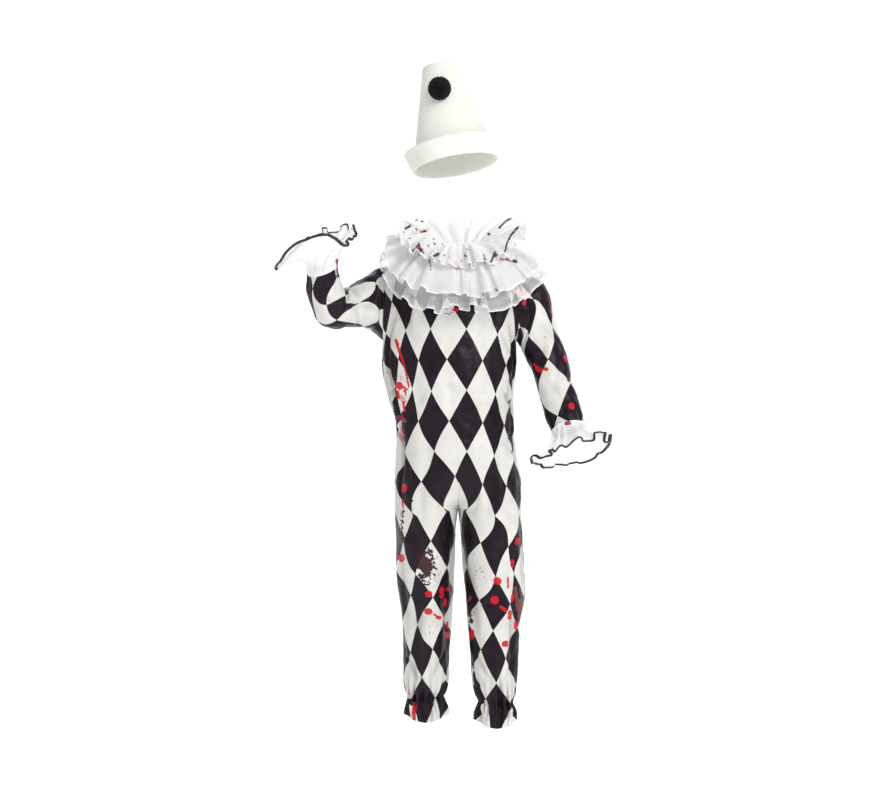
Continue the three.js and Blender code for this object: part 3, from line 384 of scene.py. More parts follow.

# Printed blood spots, from the photograph, in its pixels: each runs from one point to another
# and has a radius. They are red, pink, dark red or black.
SPOT_COLUMNS = "x0 y0 x1 y1 r"
SUIT_SPOTS = tables(
    SPOT_COLUMNS,
    red=(
        (395, 336.5, 396, 341, 0.9), (396, 341, 400, 353, 1.4), (400, 353, 403.5, 363, 1.1),
        (403.5, 363, 406, 373, 1), (406, 373, 408.5, 385, 1), (397, 341, 399.5, 345, 0.6),
        (399, 385.5, 399.5, 386, 3.9), (404, 391, 409, 388, 1), (404.5, 386, 406, 396, 0.8),
        (398, 392, 398.5, 398, 1.4), (403.5, 402, 404.5, 411, 1.2), (402, 416, 402.5, 421, 0.9),
        (404.5, 486, 404, 490, 2.6), (402.5, 500, 402.8, 507, 1.1), (401.5, 557, 401.5, 559, 3.3),
        (428.5, 594, 429.5, 594, 3.4), (442, 589, 441.5, 596, 2.3), (448, 589, 449, 589, 2.2),
        (445.5, 600, 444.5, 605, 1.5), (427.5, 611.5, 429, 611.5, 3.4), (434, 614.5, 439, 618, 1),
        (438, 617.5, 439.5, 617.5, 1.9), (447.5, 622, 447, 628, 1), (447, 634, 448, 636, 2.8),
        (497, 580.5, 498, 581, 3.7), (494.2, 600.2, 495, 600.2, 4.1), (501, 607, 505, 610, 1.9),
        (510, 612, 509.5, 618, 2.1), (504.5, 644, 507, 643.5, 3), (508, 578, 508, 588, 1),
        (512.5, 561, 512, 566, 1.8), (517.5, 540, 517, 543, 2.1), (512.5, 596, 512, 600, 1.7),
        (515.7, 623, 515.5, 628, 1.9), (472, 632, 472, 636.5, 2.6), (415, 704, 414, 712, 2.2),
        (413.5, 712, 415, 724, 1.7), (414, 727, 424, 729, 1.2), (453, 311, 457, 310, 2),
        (448, 313, 450, 314, 0.9), (387, 372, 388, 373, 0.8),
    ),
    pink=(
        (399, 396, 404, 401, 2.4), (398, 417, 405, 421, 2), (401, 427, 403, 431, 1.6),
        (400, 432, 402.5, 440, 2.2), (403, 508, 401.5, 514, 1.3), (515, 588, 518, 608, 1.8),
        (519, 600, 519, 622, 1.4), (470, 596, 469, 600, 1.5), (427, 302, 428, 303, 2.6),
        (409, 690, 411, 697, 0.9),
    ),
    dark=(
        (421, 547, 424, 552, 3), (420, 556, 424, 560, 5), (422, 565, 427, 562, 5.4),
        (415, 563, 420, 567, 2.6), (425, 569, 430, 567, 3.2), (431, 549, 434, 562, 0.9),
        (428, 551, 431, 557, 1.6), (424, 576, 430, 573, 2.4), (420, 575, 423, 581, 1.6),
        (430, 577, 431, 578, 1.3), (424, 584, 428, 585, 1.1), (429, 581, 430, 584, 0.9),
        (433, 567, 436, 569, 1), (434, 574, 435, 575, 0.9), (402.5, 512, 401, 538, 0.8),
        (410, 497, 411, 501, 2.2), (411, 487, 412, 489, 2.2), (470, 612, 470.5, 615, 2.3),
        (471, 618, 471, 622, 1.6), (444, 597, 447, 596, 1.8), (403, 535, 403, 541, 1.1),
    ),
    black=(
        (477, 570, 476.5, 571, 0.8), (475.6, 574.5, 475.6, 575.5, 0.8), (474.6, 578, 474.8, 578.4, 0.6),
        (449, 316, 449.4, 317, 0.8), (403, 377, 403, 378, 0.7), (458, 505, 458.5, 511, 0.7),
        (456, 508, 461, 508, 0.6),
    ),
)
SLEEVE_SPOTS = tables(
    SPOT_COLUMNS,
    red=(
        (537, 368.5, 540.5, 370, 2.3), (545, 369, 546.5, 369.5, 2), (534.5, 364.5, 536, 367, 1.2),
        (565, 357, 566, 360, 1.8), (571.5, 405.5, 572, 406.5, 2.8), (566, 423.5, 569, 423, 2),
        (524.5, 300, 523.5, 304, 1.6), (545, 337, 545.2, 337.2, 0.9), (537.5, 397, 538, 398, 0.9),
        (336.8, 260, 337.2, 264, 1.5),
    ),
    pink=((520, 292, 521, 293, 2.8), (551, 305, 553, 316, 1.2), (549, 297, 550, 303, 1)),
    dark=((568, 375, 569, 380, 1.2), (311, 283, 309.5, 296, 1)),
    black=((337, 266, 337.4, 276, 0.8),),
)
COLLAR_SPOTS = tables(
    SPOT_COLUMNS,
    red=(
        (417, 247, 424, 253, 1), (413, 250, 419, 246, 0.8), (417, 246, 422, 249.5, 1.3),
        (500, 259, 508, 260, 0.8), (504, 256, 511, 262, 0.5),
    ),
    pink=(
        (412, 234, 428, 229, 1.6), (420, 240, 424, 238, 1.4), (414, 258, 420, 254, 1),
        (455, 262, 459, 268, 1.3), (518, 292, 520, 294, 2.8),
    ),
    dark=(
        (418.5, 243, 421, 251, 0.9), (434, 256, 438, 254, 1.4), (514, 261, 516, 261.5, 1.8),
        (516, 255, 516.5, 259, 0.7), (499, 228, 506, 221, 0.9), (506, 221, 512, 217.5, 1.1),
        (512, 217.5, 518, 218.5, 0.8), (505, 252, 507, 243, 0.9), (507, 243, 511, 235, 0.9),
        (511, 235, 518, 227, 1.1), (491, 262, 495, 252, 1), (458.5, 266.5, 459.5, 267.5, 0.9),
        (419, 244, 420, 252, 1.1), (412.5, 250, 413.2, 251, 1), (421, 232, 425.5, 231.3, 0.9),
        (428, 245.5, 428.5, 246, 0.7),
    ),
    black=(
        (405.5, 228.5, 410, 226, 1.3), (409.6, 238, 410, 238.4, 0.8), (433.4, 239, 434, 239.4, 0.8),
        (442, 243.8, 442.6, 244.4, 0.6), (428.8, 260, 430, 262, 0.9), (430.6, 265.5, 431, 266.5, 0.8),
        (430.6, 269.4, 431, 270, 0.7), (444, 255, 444.6, 255.8, 0.7), (449.6, 257, 450.2, 257.6, 0.6),
        (461, 260.6, 461.6, 261.4, 0.6), (484, 254.5, 485, 263, 0.7), (493.5, 253, 495.5, 256.5, 1),
        (438, 249, 438.5, 249.5, 0.6), (424.5, 238, 425, 238.5, 0.6), (416, 220.5, 417, 220, 0.9),
        (421.5, 221, 422.5, 221.5, 0.9), (403.5, 232, 404, 232.5, 0.8), (416, 229, 417, 230, 0.8),
        (424, 231, 426, 231, 0.9), (429.5, 264, 430.5, 265, 0.8), (434, 243, 435, 244, 0.9),
        (444, 246, 444.4, 246.4, 0.6), (464.5, 255, 466.5, 256.5, 0.9), (467, 249, 467.4, 249.6, 0.8),
        (495, 253, 497, 255, 0.9), (488, 233.5, 489.5, 234.5, 1.2), (527, 240.5, 527.5, 242, 0.9),
        (496, 289.5, 497, 290.5, 1.1), (483, 294, 484.5, 295, 0.9), (482, 301.5, 482.4, 302.5, 0.9),
        (485, 258.5, 486, 259, 0.9), (456.5, 268, 457, 269, 0.7),
    ),
)

# Where fine dark specks lie: middle, radius in pixels, and how many.
SPECKS = table(
    "x y r many",
    (476, 572, 9, 0.75), (487, 577, 9, 0.3), (480, 610, 9, 0.35), (430, 556, 8, 0.75),
    (432, 578, 7, 0.65), (431, 625, 9, 0.3), (404, 378, 5, 0.8), (404, 393, 5, 0.7),
    (520, 578, 6, 0.45), (418, 690, 7, 0.3), (450, 315, 5, 0.5), (472, 548, 6, 0.4),
)
SPOT_TONES = ("red", "pink", "dark", "black")
SPOT_REACH = 6.0


def mix(a, b, t):
    return a + (b - a) * t


def smooth(t):
    t = np.clip(t, 0, 1)
    return t * t * (3 - 2 * t)


def reading(rows, by, name, at):
    """Smooth reading of one column of a table whose rows are ordered by another column."""
    key, value = rows[by], rows[name]
    at = np.asarray(at, float)
    order = 1 if key[-1] > key[0] else -1
    i = np.clip(np.searchsorted(order * key, order * at, side="left") - 1, 0, len(key) - 2)
    low = np.maximum(np.arange(len(key)) - 1, 0)
    high = np.minimum(np.arange(len(key)) + 1, len(key) - 1)
    slope = (value[high] - value[low]) / (key[high] - key[low])
    run = key[i + 1] - key[i]
    t = np.clip((at - key[i]) / run, 0, 1)
    bend = t * (1 - t) * run
    return mix(value[i], value[i + 1], t * t * (3 - 2 * t)) + bend * ((1 - t) * slope[i] - t * slope[i + 1])


def triple(x, y, z):
    return np.stack(np.broadcast_arrays(x, y, z), axis=-1).astype(float)


def unit(v):
    return v / np.maximum(np.linalg.norm(v, axis=-1, keepdims=True), 1e-9)


def places(rows, names="x y z"):
    """Points from columns of a table."""
    return np.stack([rows[name] for name in names.split()], 1)


def column(values):
    return np.asarray(values)[:, None]


def close_round(grid):
    """A ring grid with its first column once more at the end."""
    return np.concatenate([grid, grid[:, :1]], axis=1)


def spline(points, at, closed):
    """Centripetal curve through points, read at shares from 0 to 1, evenly from point to point."""
    count = len(points)
    at = np.asarray(at, float)
    place = at * (count if closed else count - 1)
    i = np.floor(place).astype(int)
    if closed:
        weight = place - i
        p = [points[(i + k) % count] for k in (-1, 0, 1, 2)]
    else:
        i = np.clip(i, 0, count - 2)
        weight = place - i
        padded = np.vstack([2 * points[0] - points[1], points, 2 * points[-1] - points[-2]])
        p = [padded[i + k] for k in range(4)]
    a, b, c = (np.sqrt(np.linalg.norm(p[k + 1] - p[k], axis=-1, keepdims=True)) for k in range(3))
    lean_in = ((p[1] - p[0]) / a - (p[2] - p[0]) / (a + b) + (p[2] - p[1]) / b) * b
    lean_out = ((p[2] - p[1]) / b - (p[3] - p[1]) / (b + c) + (p[3] - p[2]) / c) * b
    t = weight[..., None]
    square = -3 * p[1] + 3 * p[2] - 2 * lean_in - lean_out
    cube = 2 * p[1] - 2 * p[2] + lean_in + lean_out
    return p[1] + lean_in * t + square * t**2 + cube * t**3


def grid_normals(grid, closed, flip=1.0):
    """Unit normals of a grid of points, rows of columns. Columns may close round."""
    if closed:
        along = np.roll(grid, -1, axis=1) - np.roll(grid, 1, axis=1)
    else:
        along = np.gradient(grid, axis=1)
    down = np.gradient(grid, axis=0)
    return unit(np.cross(along, down)) * flip


def outward(grid):
    """Normals of a ring grid, pointing away from its middle."""
    normals = grid_normals(grid, True)
    middle = grid[0].mean(axis=0)
    return normals if np.dot(normals[1, 0], grid[1, 0] - middle) > 0 else -normals


def ripple(points, size, seed, stretch=(1, 1, 1), waves=26):
    """Soft even noise over points, between about -1 and 1, with bumps of that size."""
    draw = np.random.default_rng(seed)
    ways = unit(draw.normal(size=(waves, 3))) * (TAU / size) * draw.uniform(0.6, 1.4, (waves, 1))
    start = draw.uniform(0, TAU, waves)
    scaled = points / np.array(stretch, float)
    total = np.zeros(points.shape[:-1])
    for way, begin in zip(ways, start):
        total += np.cos(scaled @ way + begin)
    return total / math.sqrt(waves)


def photo_place(points):
    """Where points of the costume fall in the photograph, in its pixels, seen by the stage's camera."""
    far = (CAMERA["away"] + points[..., 1]) / CAMERA["away"]
    scale = CAMERA["mm_a_pixel"] * far
    x = CAMERA["middle_x"] + (points[..., 0] - CAMERA["x"]) / scale
    y = CAMERA["middle_y"] - (points[..., 2] - CAMERA["z"]) / scale
    return x, y


def ease_print(pattern, points, facing, tips, reach):
    """Moves the print so that its tips come where they are in the photograph, and less farther off."""
    x, y = photo_place(points)
    flat_x, flat_y = x[facing], y[facing]
    flat = pattern[facing][:, :2]
    place = places(tips, "x y")
    found = []
    for tip_x, tip_y, tip_column, tip_row in zip(*tips.values()):
        off = (flat_x - tip_x) ** 2 + (flat_y - tip_y) ** 2
        near = np.argsort(off)[:4]
        weight = 1 / (off[near] + 0.01)
        here = (flat[near] * weight[:, None]).sum(axis=0) / weight.sum()
        found.append((tip_column - here[0], tip_row - here[1]))

    def bend(distance):
        return np.exp(-((distance / reach) ** 2))

    gap = np.hypot(place[:, None, 0] - place[None, :, 0], place[:, None, 1] - place[None, :, 1])
    pull = np.linalg.solve(bend(gap) + 0.02 * np.eye(len(place)), np.array(found))
    move = np.zeros(x.shape + (2,))
    for (tip_x, tip_y), amount in zip(place, pull):
        move += bend(np.hypot(x - tip_x, y - tip_y))[..., None] * amount
    eased = pattern.copy()
    eased[..., :2] += move
    return eased


def front_share(normals):
    """1 where cloth faces the front, falling to 0 where it turns to the side."""
    return smooth(-normals[..., 1] / 0.4)


def spot_fields(points, facing, spots):
    """For each tone, how far inside a spot each point lies, in pixels, and less than 0 outside.

    facing is 1 where the cloth faces the front, and 0 where it doesn't.
    """
    x, y = photo_place(points)
    fields = {}
    for tone in SPOT_TONES:
        best = np.full(x.shape, -SPOT_REACH)
        for x0, y0, x1, y1, r in zip(*spots[tone].values()):
            run = max((x1 - x0) ** 2 + (y1 - y0) ** 2, 1e-6)
            t = np.clip(((x - x0) * (x1 - x0) + (y - y0) * (y1 - y0)) / run, 0, 1)
            off = np.hypot(x - mix(x0, x1, t), y - mix(y0, y1, t))
            best = np.maximum(best, r - off)
        fields["spot_" + tone] = best * facing - SPOT_REACH * (1 - facing)
    amount = np.zeros(x.shape)
    for speck_x, speck_y, r, many in zip(*SPECKS.values()):
        amount = np.maximum(amount, many * np.exp(-((x - speck_x) ** 2 + (y - speck_y) ** 2) / r**2))
    fields["specks"] = amount * facing
    return fields


def wall_faces(rows, columns, closed):
    """Quads of a closed wall between two layers of a grid."""
    spans = columns if closed else columns - 1
    i, j = np.meshgrid(np.arange(rows - 1), np.arange(spans), indexing="ij")
    right = (j + 1) % columns
    above = i * columns
    below = above + columns
    a, b, c, d = (k.ravel() for k in (above + j, below + j, below + right, above + right))
    layer = rows * columns
    quads = [np.stack([a, b, c, d], 1), np.stack([a, d, c, b], 1) + layer]
    j = np.arange(spans)
    right = (j + 1) % columns
    last = (rows - 1) * columns
    quads.append(np.stack([j, right, right + layer, j + layer], 1))
    quads.append(np.stack([right + last, j + last, j + last + layer, right + last + layer], 1))
    if not closed:
        i = np.arange(rows - 1) * columns
        below = i + columns
        quads.append(np.stack([below, i, i + layer, below + layer], 1))
        end = columns - 1
        quads.append(np.stack([i + end, below + end, below + end + layer, i + end + layer], 1))
    return np.vstack(quads)


def facing_out(points, quads):
    """Turns a closed body's faces round if they point inwards."""
    a, b, c, d = (points[quads[:, k]] for k in range(4))
    volume = (a * np.cross(b, c)).sum() + (a * np.cross(c, d)).sum()
    return quads if volume > 0 else quads[:, ::-1]


def make_object(name, points, faces, material, marks=None, sharp=60):
    """A smooth mesh object from points in millimetres, with a value at each point for each mark."""
    mesh = bpy.data.meshes.new(name)
    mesh.from_pydata((points * MM).tolist(), [], faces.tolist() if isinstance(faces, np.ndarray) else faces)
    for mark, values in (marks or {}).items():
        values = np.asarray(values, np.float32)
        if values.ndim == 2:
            mesh.attributes.new(mark, "FLOAT_VECTOR", "POINT").data.foreach_set("vector", values.ravel())
        else:
            mesh.attributes.new(mark, "FLOAT", "POINT").data.foreach_set("value", values)
    mesh.shade_smooth()
    mesh.set_sharp_from_angle(angle=math.radians(sharp))
    mesh.materials.append(material)
    mesh.validate()
    obj = bpy.data.objects.new(name, mesh)
    bpy.context.scene.collection.objects.link(obj)
    return obj


def wall_object(name, grid, normals, wall, closed, material, marks):
    """A sheet of cloth: a grid of outer points, moved in by the wall, and closed at its edges."""
    rows, columns = grid.shape[:2]
    points = np.vstack([grid.reshape(-1, 3), (grid - normals * wall).reshape(-1, 3)])
    quads = facing_out(points, wall_faces(rows, columns, closed))
    both = {}
    for mark, values in marks.items():
        flat = values.reshape(-1, 3) if values.ndim == 3 else values.ravel()
        both[mark] = np.concatenate([flat, flat])
    size = rows * columns
    both["inside"] = np.concatenate([np.zeros(size), np.ones(size)])
    return make_object(name, points, quads, material, both)


def sheet_area(grid, closed):
    """Area of a grid of cloth in square metres."""
    grid = close_round(grid) if closed else grid
    a = grid[1:, :-1] - grid[:-1, :-1]
    b = grid[:-1, 1:] - grid[:-1, :-1]
    return float(np.linalg.norm(np.cross(a, b), axis=-1).sum()) * MM * MM


def lengths(grid, axis, closed=False):
    """Lengths of a grid's rows (axis 1) or columns (axis 0), in metres."""
    grid = close_round(grid) if closed else grid
    return np.linalg.norm(np.diff(grid, axis=axis), axis=-1).sum(axis=axis) * MM


def arcs(grid):
    """Distance of each point of a grid from its row's first point, along the row."""
    steps = np.linalg.norm(np.diff(grid, axis=1), axis=-1)
    return np.concatenate([np.zeros((grid.shape[0], 1)), np.cumsum(steps, axis=1)], axis=1)


def neck_point(angle):
    """A point of the neckline, by its angle round from the front to the wearer's left."""
    forward = np.cos(angle)
    front = mix(NECK["z_side"], NECK["z_front"], forward**2)
    back = mix(NECK["z_side"], NECK["z_back"], forward**2)
    reach = np.where(forward > 0, NECK["front"], NECK["back"])
    x = NECK["x"] + NECK["wide"] * np.sin(angle)
    return triple(x, -reach * forward, np.where(forward > 0, front, back))


def armhole_point(hole, angle):
    """A point of an armhole, by its angle round from the shoulder's tip."""
    x, y, z = hole["tip"]
    up = (1 + np.cos(angle)) / 2
    return triple(mix(hole["pit_x"], x, up), y * up - hole["deep"] * np.sin(angle), mix(hole["pit_z"], z, up))


def armhole_facing(hole):
    """The direction square to an armhole's flat outline."""
    chord = np.array(hole["tip"], float) - np.array([hole["pit_x"], 0, hole["pit_z"]])
    return unit(np.cross([0, 1, 0], chord))


def trunk_point(side, face, across, z):
    """A point of a trunk section. across runs from the centre seam (0) to the side seam (1)."""
    angle = across * math.pi / 2
    depth = reading(TRUNK, "z", "front" if face < 0 else "back", z)
    sine = np.clip(np.sin(angle), 0, 1) ** TRUNK_FULLNESS
    cosine = np.clip(np.cos(angle), 0, 1) ** TRUNK_FULLNESS
    x = reading(TRUNK, "z", "middle", z) + side * reading(TRUNK, "z", "half", z) * sine
    return triple(x, face * depth * cosine, z)


def leg_point(side, face, across, z):
    """A point of a leg section. across runs from the inside leg (0) to the side seam (1)."""
    leg = LEGS[side]
    angle = across * math.pi
    x = reading(leg, "z", "x", z) - side * reading(leg, "z", "half", z) * np.cos(angle)
    y = reading(leg, "z", "y", z) + face * reading(leg, "z", "depth", z) * np.sin(angle)
    flare = smooth((HEM_WAVES["from"] - z) / (HEM_WAVES["from"] - HEM_WAVES["to"]))
    wave = HEM_WAVES["height"] * flare * np.cos(HEM_WAVES["count"] * angle * face)
    return triple(x - side * wave * np.cos(angle), y + face * wave * np.sin(angle), z)


def fork_point(side, face, across, share):
    """A point of the fork between trunk (share 0) and leg (share 1)."""
    quarter = share * math.pi / 2
    centre = FORK["top"] + (FORK["centre"] - FORK["top"]) * np.sin(quarter)
    edge = mix(FORK["top"], FORK["side"], share)
    z = mix(edge, centre, np.cos(across * math.pi / 2) ** 2)
    to_leg = (1 - np.cos(quarter))[..., None]
    leg = leg_point(side, face, across, np.full_like(z, FORK["side"]))
    point = mix(trunk_point(side, face, across, z), leg, to_leg)
    point[..., 1] *= 1 + FORK["fill"] * np.sin(share * math.pi) * np.sin(across * math.pi)
    point[..., 2] = z
    return point


def yoke_point(side, face, across, share):
    """A point between the armpit's level (share 0) and the neckline and shoulder (share 1)."""
    hole = HOLES[side]

    def top(t):
        turn = np.clip(t / NECK_SHARE, 0, 1) * math.pi / 2
        neck = neck_point(side * (turn if face < 0 else math.pi - turn))
        out = np.clip((t - NECK_SHARE) / (1 - NECK_SHARE), 0, 1)[..., None]
        return mix(neck, np.array(hole["tip"], float), out)

    def arched(t):
        low = trunk_point(side, face, t, np.full_like(t, TRUNK["z"][0]))
        high = top(t)
        power = mix(YOKE_ROUND["centre"], YOKE_ROUND["shoulder"], smooth(t / NECK_SHARE))
        arch = np.clip(1 - up * up, 0, 1) ** power
        x, z = (mix(low[..., k], high[..., k], up) for k in (0, 2))
        return triple(x, mix(high[..., 1], low[..., 1], arch), z)

    across, share = np.broadcast_arrays(across, share)
    up = np.sin(share * math.pi / 2)
    rim = armhole_point(hole, math.pi * (1 - share))
    if face > 0:
        tall = hole["tip"][2] - hole["pit_z"]
        rim[..., 1] = 2 * hole["tip"][1] * ((rim[..., 2] - hole["pit_z"]) / tall) - rim[..., 1]
    return arched(across) + (rim - arched(np.ones_like(across))) * across[..., None] ** 3


def panel_grid(side, face):
    """Points of one long panel from neck and shoulder to hem."""
    across = np.linspace(0, 1, PANEL_COLUMNS + 1)[None, :]
    trunk_levels = np.linspace(TRUNK["z"][0], FORK["top"], TRUNK_ROWS + 1)[:-1]
    leg_levels = column(np.concatenate([
        np.linspace(FORK["side"], ANKLE_FROM, LEG_ROWS + 1)[1:],
        np.linspace(ANKLE_FROM, LEG_LEFT["z"][-1], ANKLE_ROWS + 1)[1:],
    ]))
    yoke = yoke_point(side, face, across, column(np.linspace(1, 0, YOKE_ROWS + 1)[:-1]))
    trunk = trunk_point(side, face, across, column(trunk_levels))
    fork = fork_point(side, face, across, column(np.linspace(0, 1, FORK_ROWS + 1)))
    leg = leg_point(side, face, across, leg_levels)
    settle = 1 - smooth((FORK["side"] - leg_levels) / FORK["settle"])
    leg[..., 2] += settle * (FORK["centre"] - FORK["side"]) * np.cos(across * math.pi / 2) ** 2
    return np.concatenate([yoke, trunk, fork, leg])


def panel_print(grid, side, face, width):
    """Column and row of the diamond print at each point of a panel."""
    z = grid[..., 2]
    arc = arcs(grid)
    first = grid[YOKE_ROWS]
    order = np.argsort(first[:, 0] * side)
    outer = (first[:, 0] * side)[order]
    arc[:YOKE_ROWS] = np.interp(grid[:YOKE_ROWS, :, 0] * side, outer, arc[YOKE_ROWS][order])
    shift = CENTRE_SHIFT if face < 0 else 0
    front = arc[:, [PANEL_COLUMNS // 2]]
    on_leg = reading(LEG_COLUMN[SIDE_WORDS[side]], "z", "column", z) + side * (arc - front) / width
    leg_share = smooth((FORK["top"] - z) / (FORK["top"] - FORK["side"] + FORK["blend"]))
    columns = mix((side * arc + shift) / width, on_leg, leg_share)
    row = np.interp(-z, -PRINT_ROWS["z"], PRINT_ROWS["row"])
    up = np.linalg.norm(np.diff(grid[: YOKE_ROWS + 1], axis=0), axis=-1)[::-1].cumsum(axis=0)[::-1]
    row[:YOKE_ROWS] = row[YOKE_ROWS] - up / ROW_HEIGHT
    return triple(columns, row, 0)


def fold_depth(rows, across, z):
    """How far a panel's folds draw each point in."""
    total = np.zeros(np.broadcast(across, z).shape)
    for at, level, long, wide, deep, slant in zip(*rows.values()):
        off = (across - at - slant * (level - z)) / wide
        total += deep * np.exp(-(off**2) - ((z - level) / long) ** 2)
    return total


def ankle_gathers(across, z):
    """Bunched cloth at the elastic, deepest there and fading up and down."""
    above = np.exp(-np.clip(z - GATHERS["z"], 0, None) / GATHERS["up"])
    below = np.exp(-np.clip(GATHERS["z"] - z, 0, None) / GATHERS["down"])
    reach = np.where(z > GATHERS["z"], above, below)
    reach = np.where(z < GATHERS["z"] + 4 * GATHERS["up"], reach, 0)
    turn = TAU * (GATHERS["count"] * across + 0.18 * np.sin(TAU * 1.7 * across + z / 60))
    uneven = 0.8 + 0.4 * np.cos(TAU * 2 * across + z / 45) + 0.25 * np.cos(TAU * 5 * across)
    sharp = np.sign(np.cos(turn)) * np.abs(np.cos(turn)) ** 0.8
    return GATHERS["deep"] * reach * sharp * uneven


def ripples_of(points, ripples):
    """How far the cloth's unevenness draws each point in, one ripple after another."""
    for height, size, seed, stretch in ripples:
        yield height * ripple(points, size, seed, stretch)


def one_panel(name, width):
    """One panel of the suit, folded and gathered, with its print and the painted shade of its folds and
    gathers.
    """
    side, face = PANELS[name]
    across = np.linspace(0, 1, PANEL_COLUMNS + 1)[None, :]
    base = panel_grid(side, face)
    z = base[..., 2]
    folds = fold_depth(FOLDS[name], across, z) * smooth((1 - across) / 0.06)
    gathers = ankle_gathers(across, z)
    sunk = folds + gathers
    for more in ripples_of(base, SUIT_RIPPLES):
        sunk += more
    seam = np.exp(-(((1 - across) / SEAM_DIP["side"]) ** 2))
    seam = seam + SEAM_DIP["centre_share"] * np.exp(-((across / SEAM_DIP["centre"]) ** 2))
    sunk += SEAM_DIP["deep"] * seam * (z < TRUNK["z"][0] + SEAM_DIP["above_pit"])
    grid = base - grid_normals(base, False, side * face) * sunk[..., None]
    below = np.clip((GATHERS["z"] - HEM_LIFT["below"] - z) / HEM_LIFT["over"], 0, 1)
    lift = HEM_LIFT["high"] * np.cos(across * math.pi) ** 2 + HEM_LIFT["ripple"] * np.cos(across * 19)
    grid[..., 2] += below * lift
    grid[:YOKE_ROWS, -1] = base[:YOKE_ROWS, -1]
    grid[0] = base[0]
    # Painted shade: how much the satin's white is darkened deep in the gathers and folds, where shade falls.
    painted_shade = PAINTED_SHADE["share"] * smooth(folds / PAINTED_SHADE["folds"])
    painted_shade = np.maximum(smooth(gathers / PAINTED_SHADE["gathers"]), painted_shade)
    pattern = panel_print(base, side, face, width)
    return {"grid": grid, "side": side, "flip": side * face, "painted_shade": painted_shade, "print": pattern}


def suit_panels(width):
    """The four panels of the suit, with shared seams, normals and print."""
    panels = {name: one_panel(name, width) for name in PANELS}
    join_seams(panels)
    fronts = [panels["front_right"], panels["front_left"]]
    both, prints = (np.concatenate([panel[key] for panel in fronts], axis=1) for key in ("grid", "print"))
    on_legs = photo_place(both)[1] > LEGS_BELOW
    middle = PANEL_COLUMNS + 1
    for panel, own in zip(fronts, (slice(0, middle), slice(middle, None))):
        legs = TIPS_LEGS[SIDE_WORDS[panel["side"]]]
        tips = {key: np.concatenate([TIPS_TORSO[key], legs[key]]) for key in legs}
        facing = ~on_legs
        facing[:, own] = True
        panel["print"] = ease_print(prints, both, facing, tips, TIP_REACH["suit"])[:, own]
    return panels


def join_seams(panels):
    """Brings sewn edges together, gives them common normals, and draws each edge in by half the gap."""
    for panel in panels.values():
        panel["normals"] = grid_normals(panel["grid"], False, panel["flip"])

    def share(a, b, rows, j):
        for key in ("grid", "normals"):
            middle = (panels[a][key][rows, j] + panels[b][key][rows, j]) / 2
            panels[a][key][rows, j] = middle
            panels[b][key][rows, j] = middle

    last = PANEL_COLUMNS
    for face in ("front", "back"):
        share(face + "_right", face + "_left", slice(0, FORK_ROW), 0)
    for side in ("right", "left"):
        share("front_" + side, "back_" + side, slice(YOKE_ROWS, None), last)
        share("front_" + side, "back_" + side, slice(FORK_ROW + 1, None), 0)
        share("front_" + side, "back_" + side, 0, slice(PANEL_COLUMNS // 2, None))
    for panel in panels.values():
        grid, normals = panel["grid"], panel["normals"]
        facing = armhole_facing(HOLES[panel["side"]])
        rim = normals[:YOKE_ROWS, last]
        normals[:YOKE_ROWS, last] = rim - facing * (rim @ facing)[:, None]
        normals[FORK_ROW, 0] = (-panel["side"], 0, -1)
        panel["normals"] = unit(normals)
        half = SEW_GAP / 2
        grid[:, 0] += unit(grid[:, 1] - grid[:, 0]) * half
        grid[:, -1] += unit(grid[:, -2] - grid[:, -1]) * half
        grid[0] += unit(grid[1] - grid[0]) * half


def cut_open(rings):
    """The same rings, parted along the seam behind the arm."""
    return close_round(np.roll(rings, -SLEEVE_SEAM, axis=1))


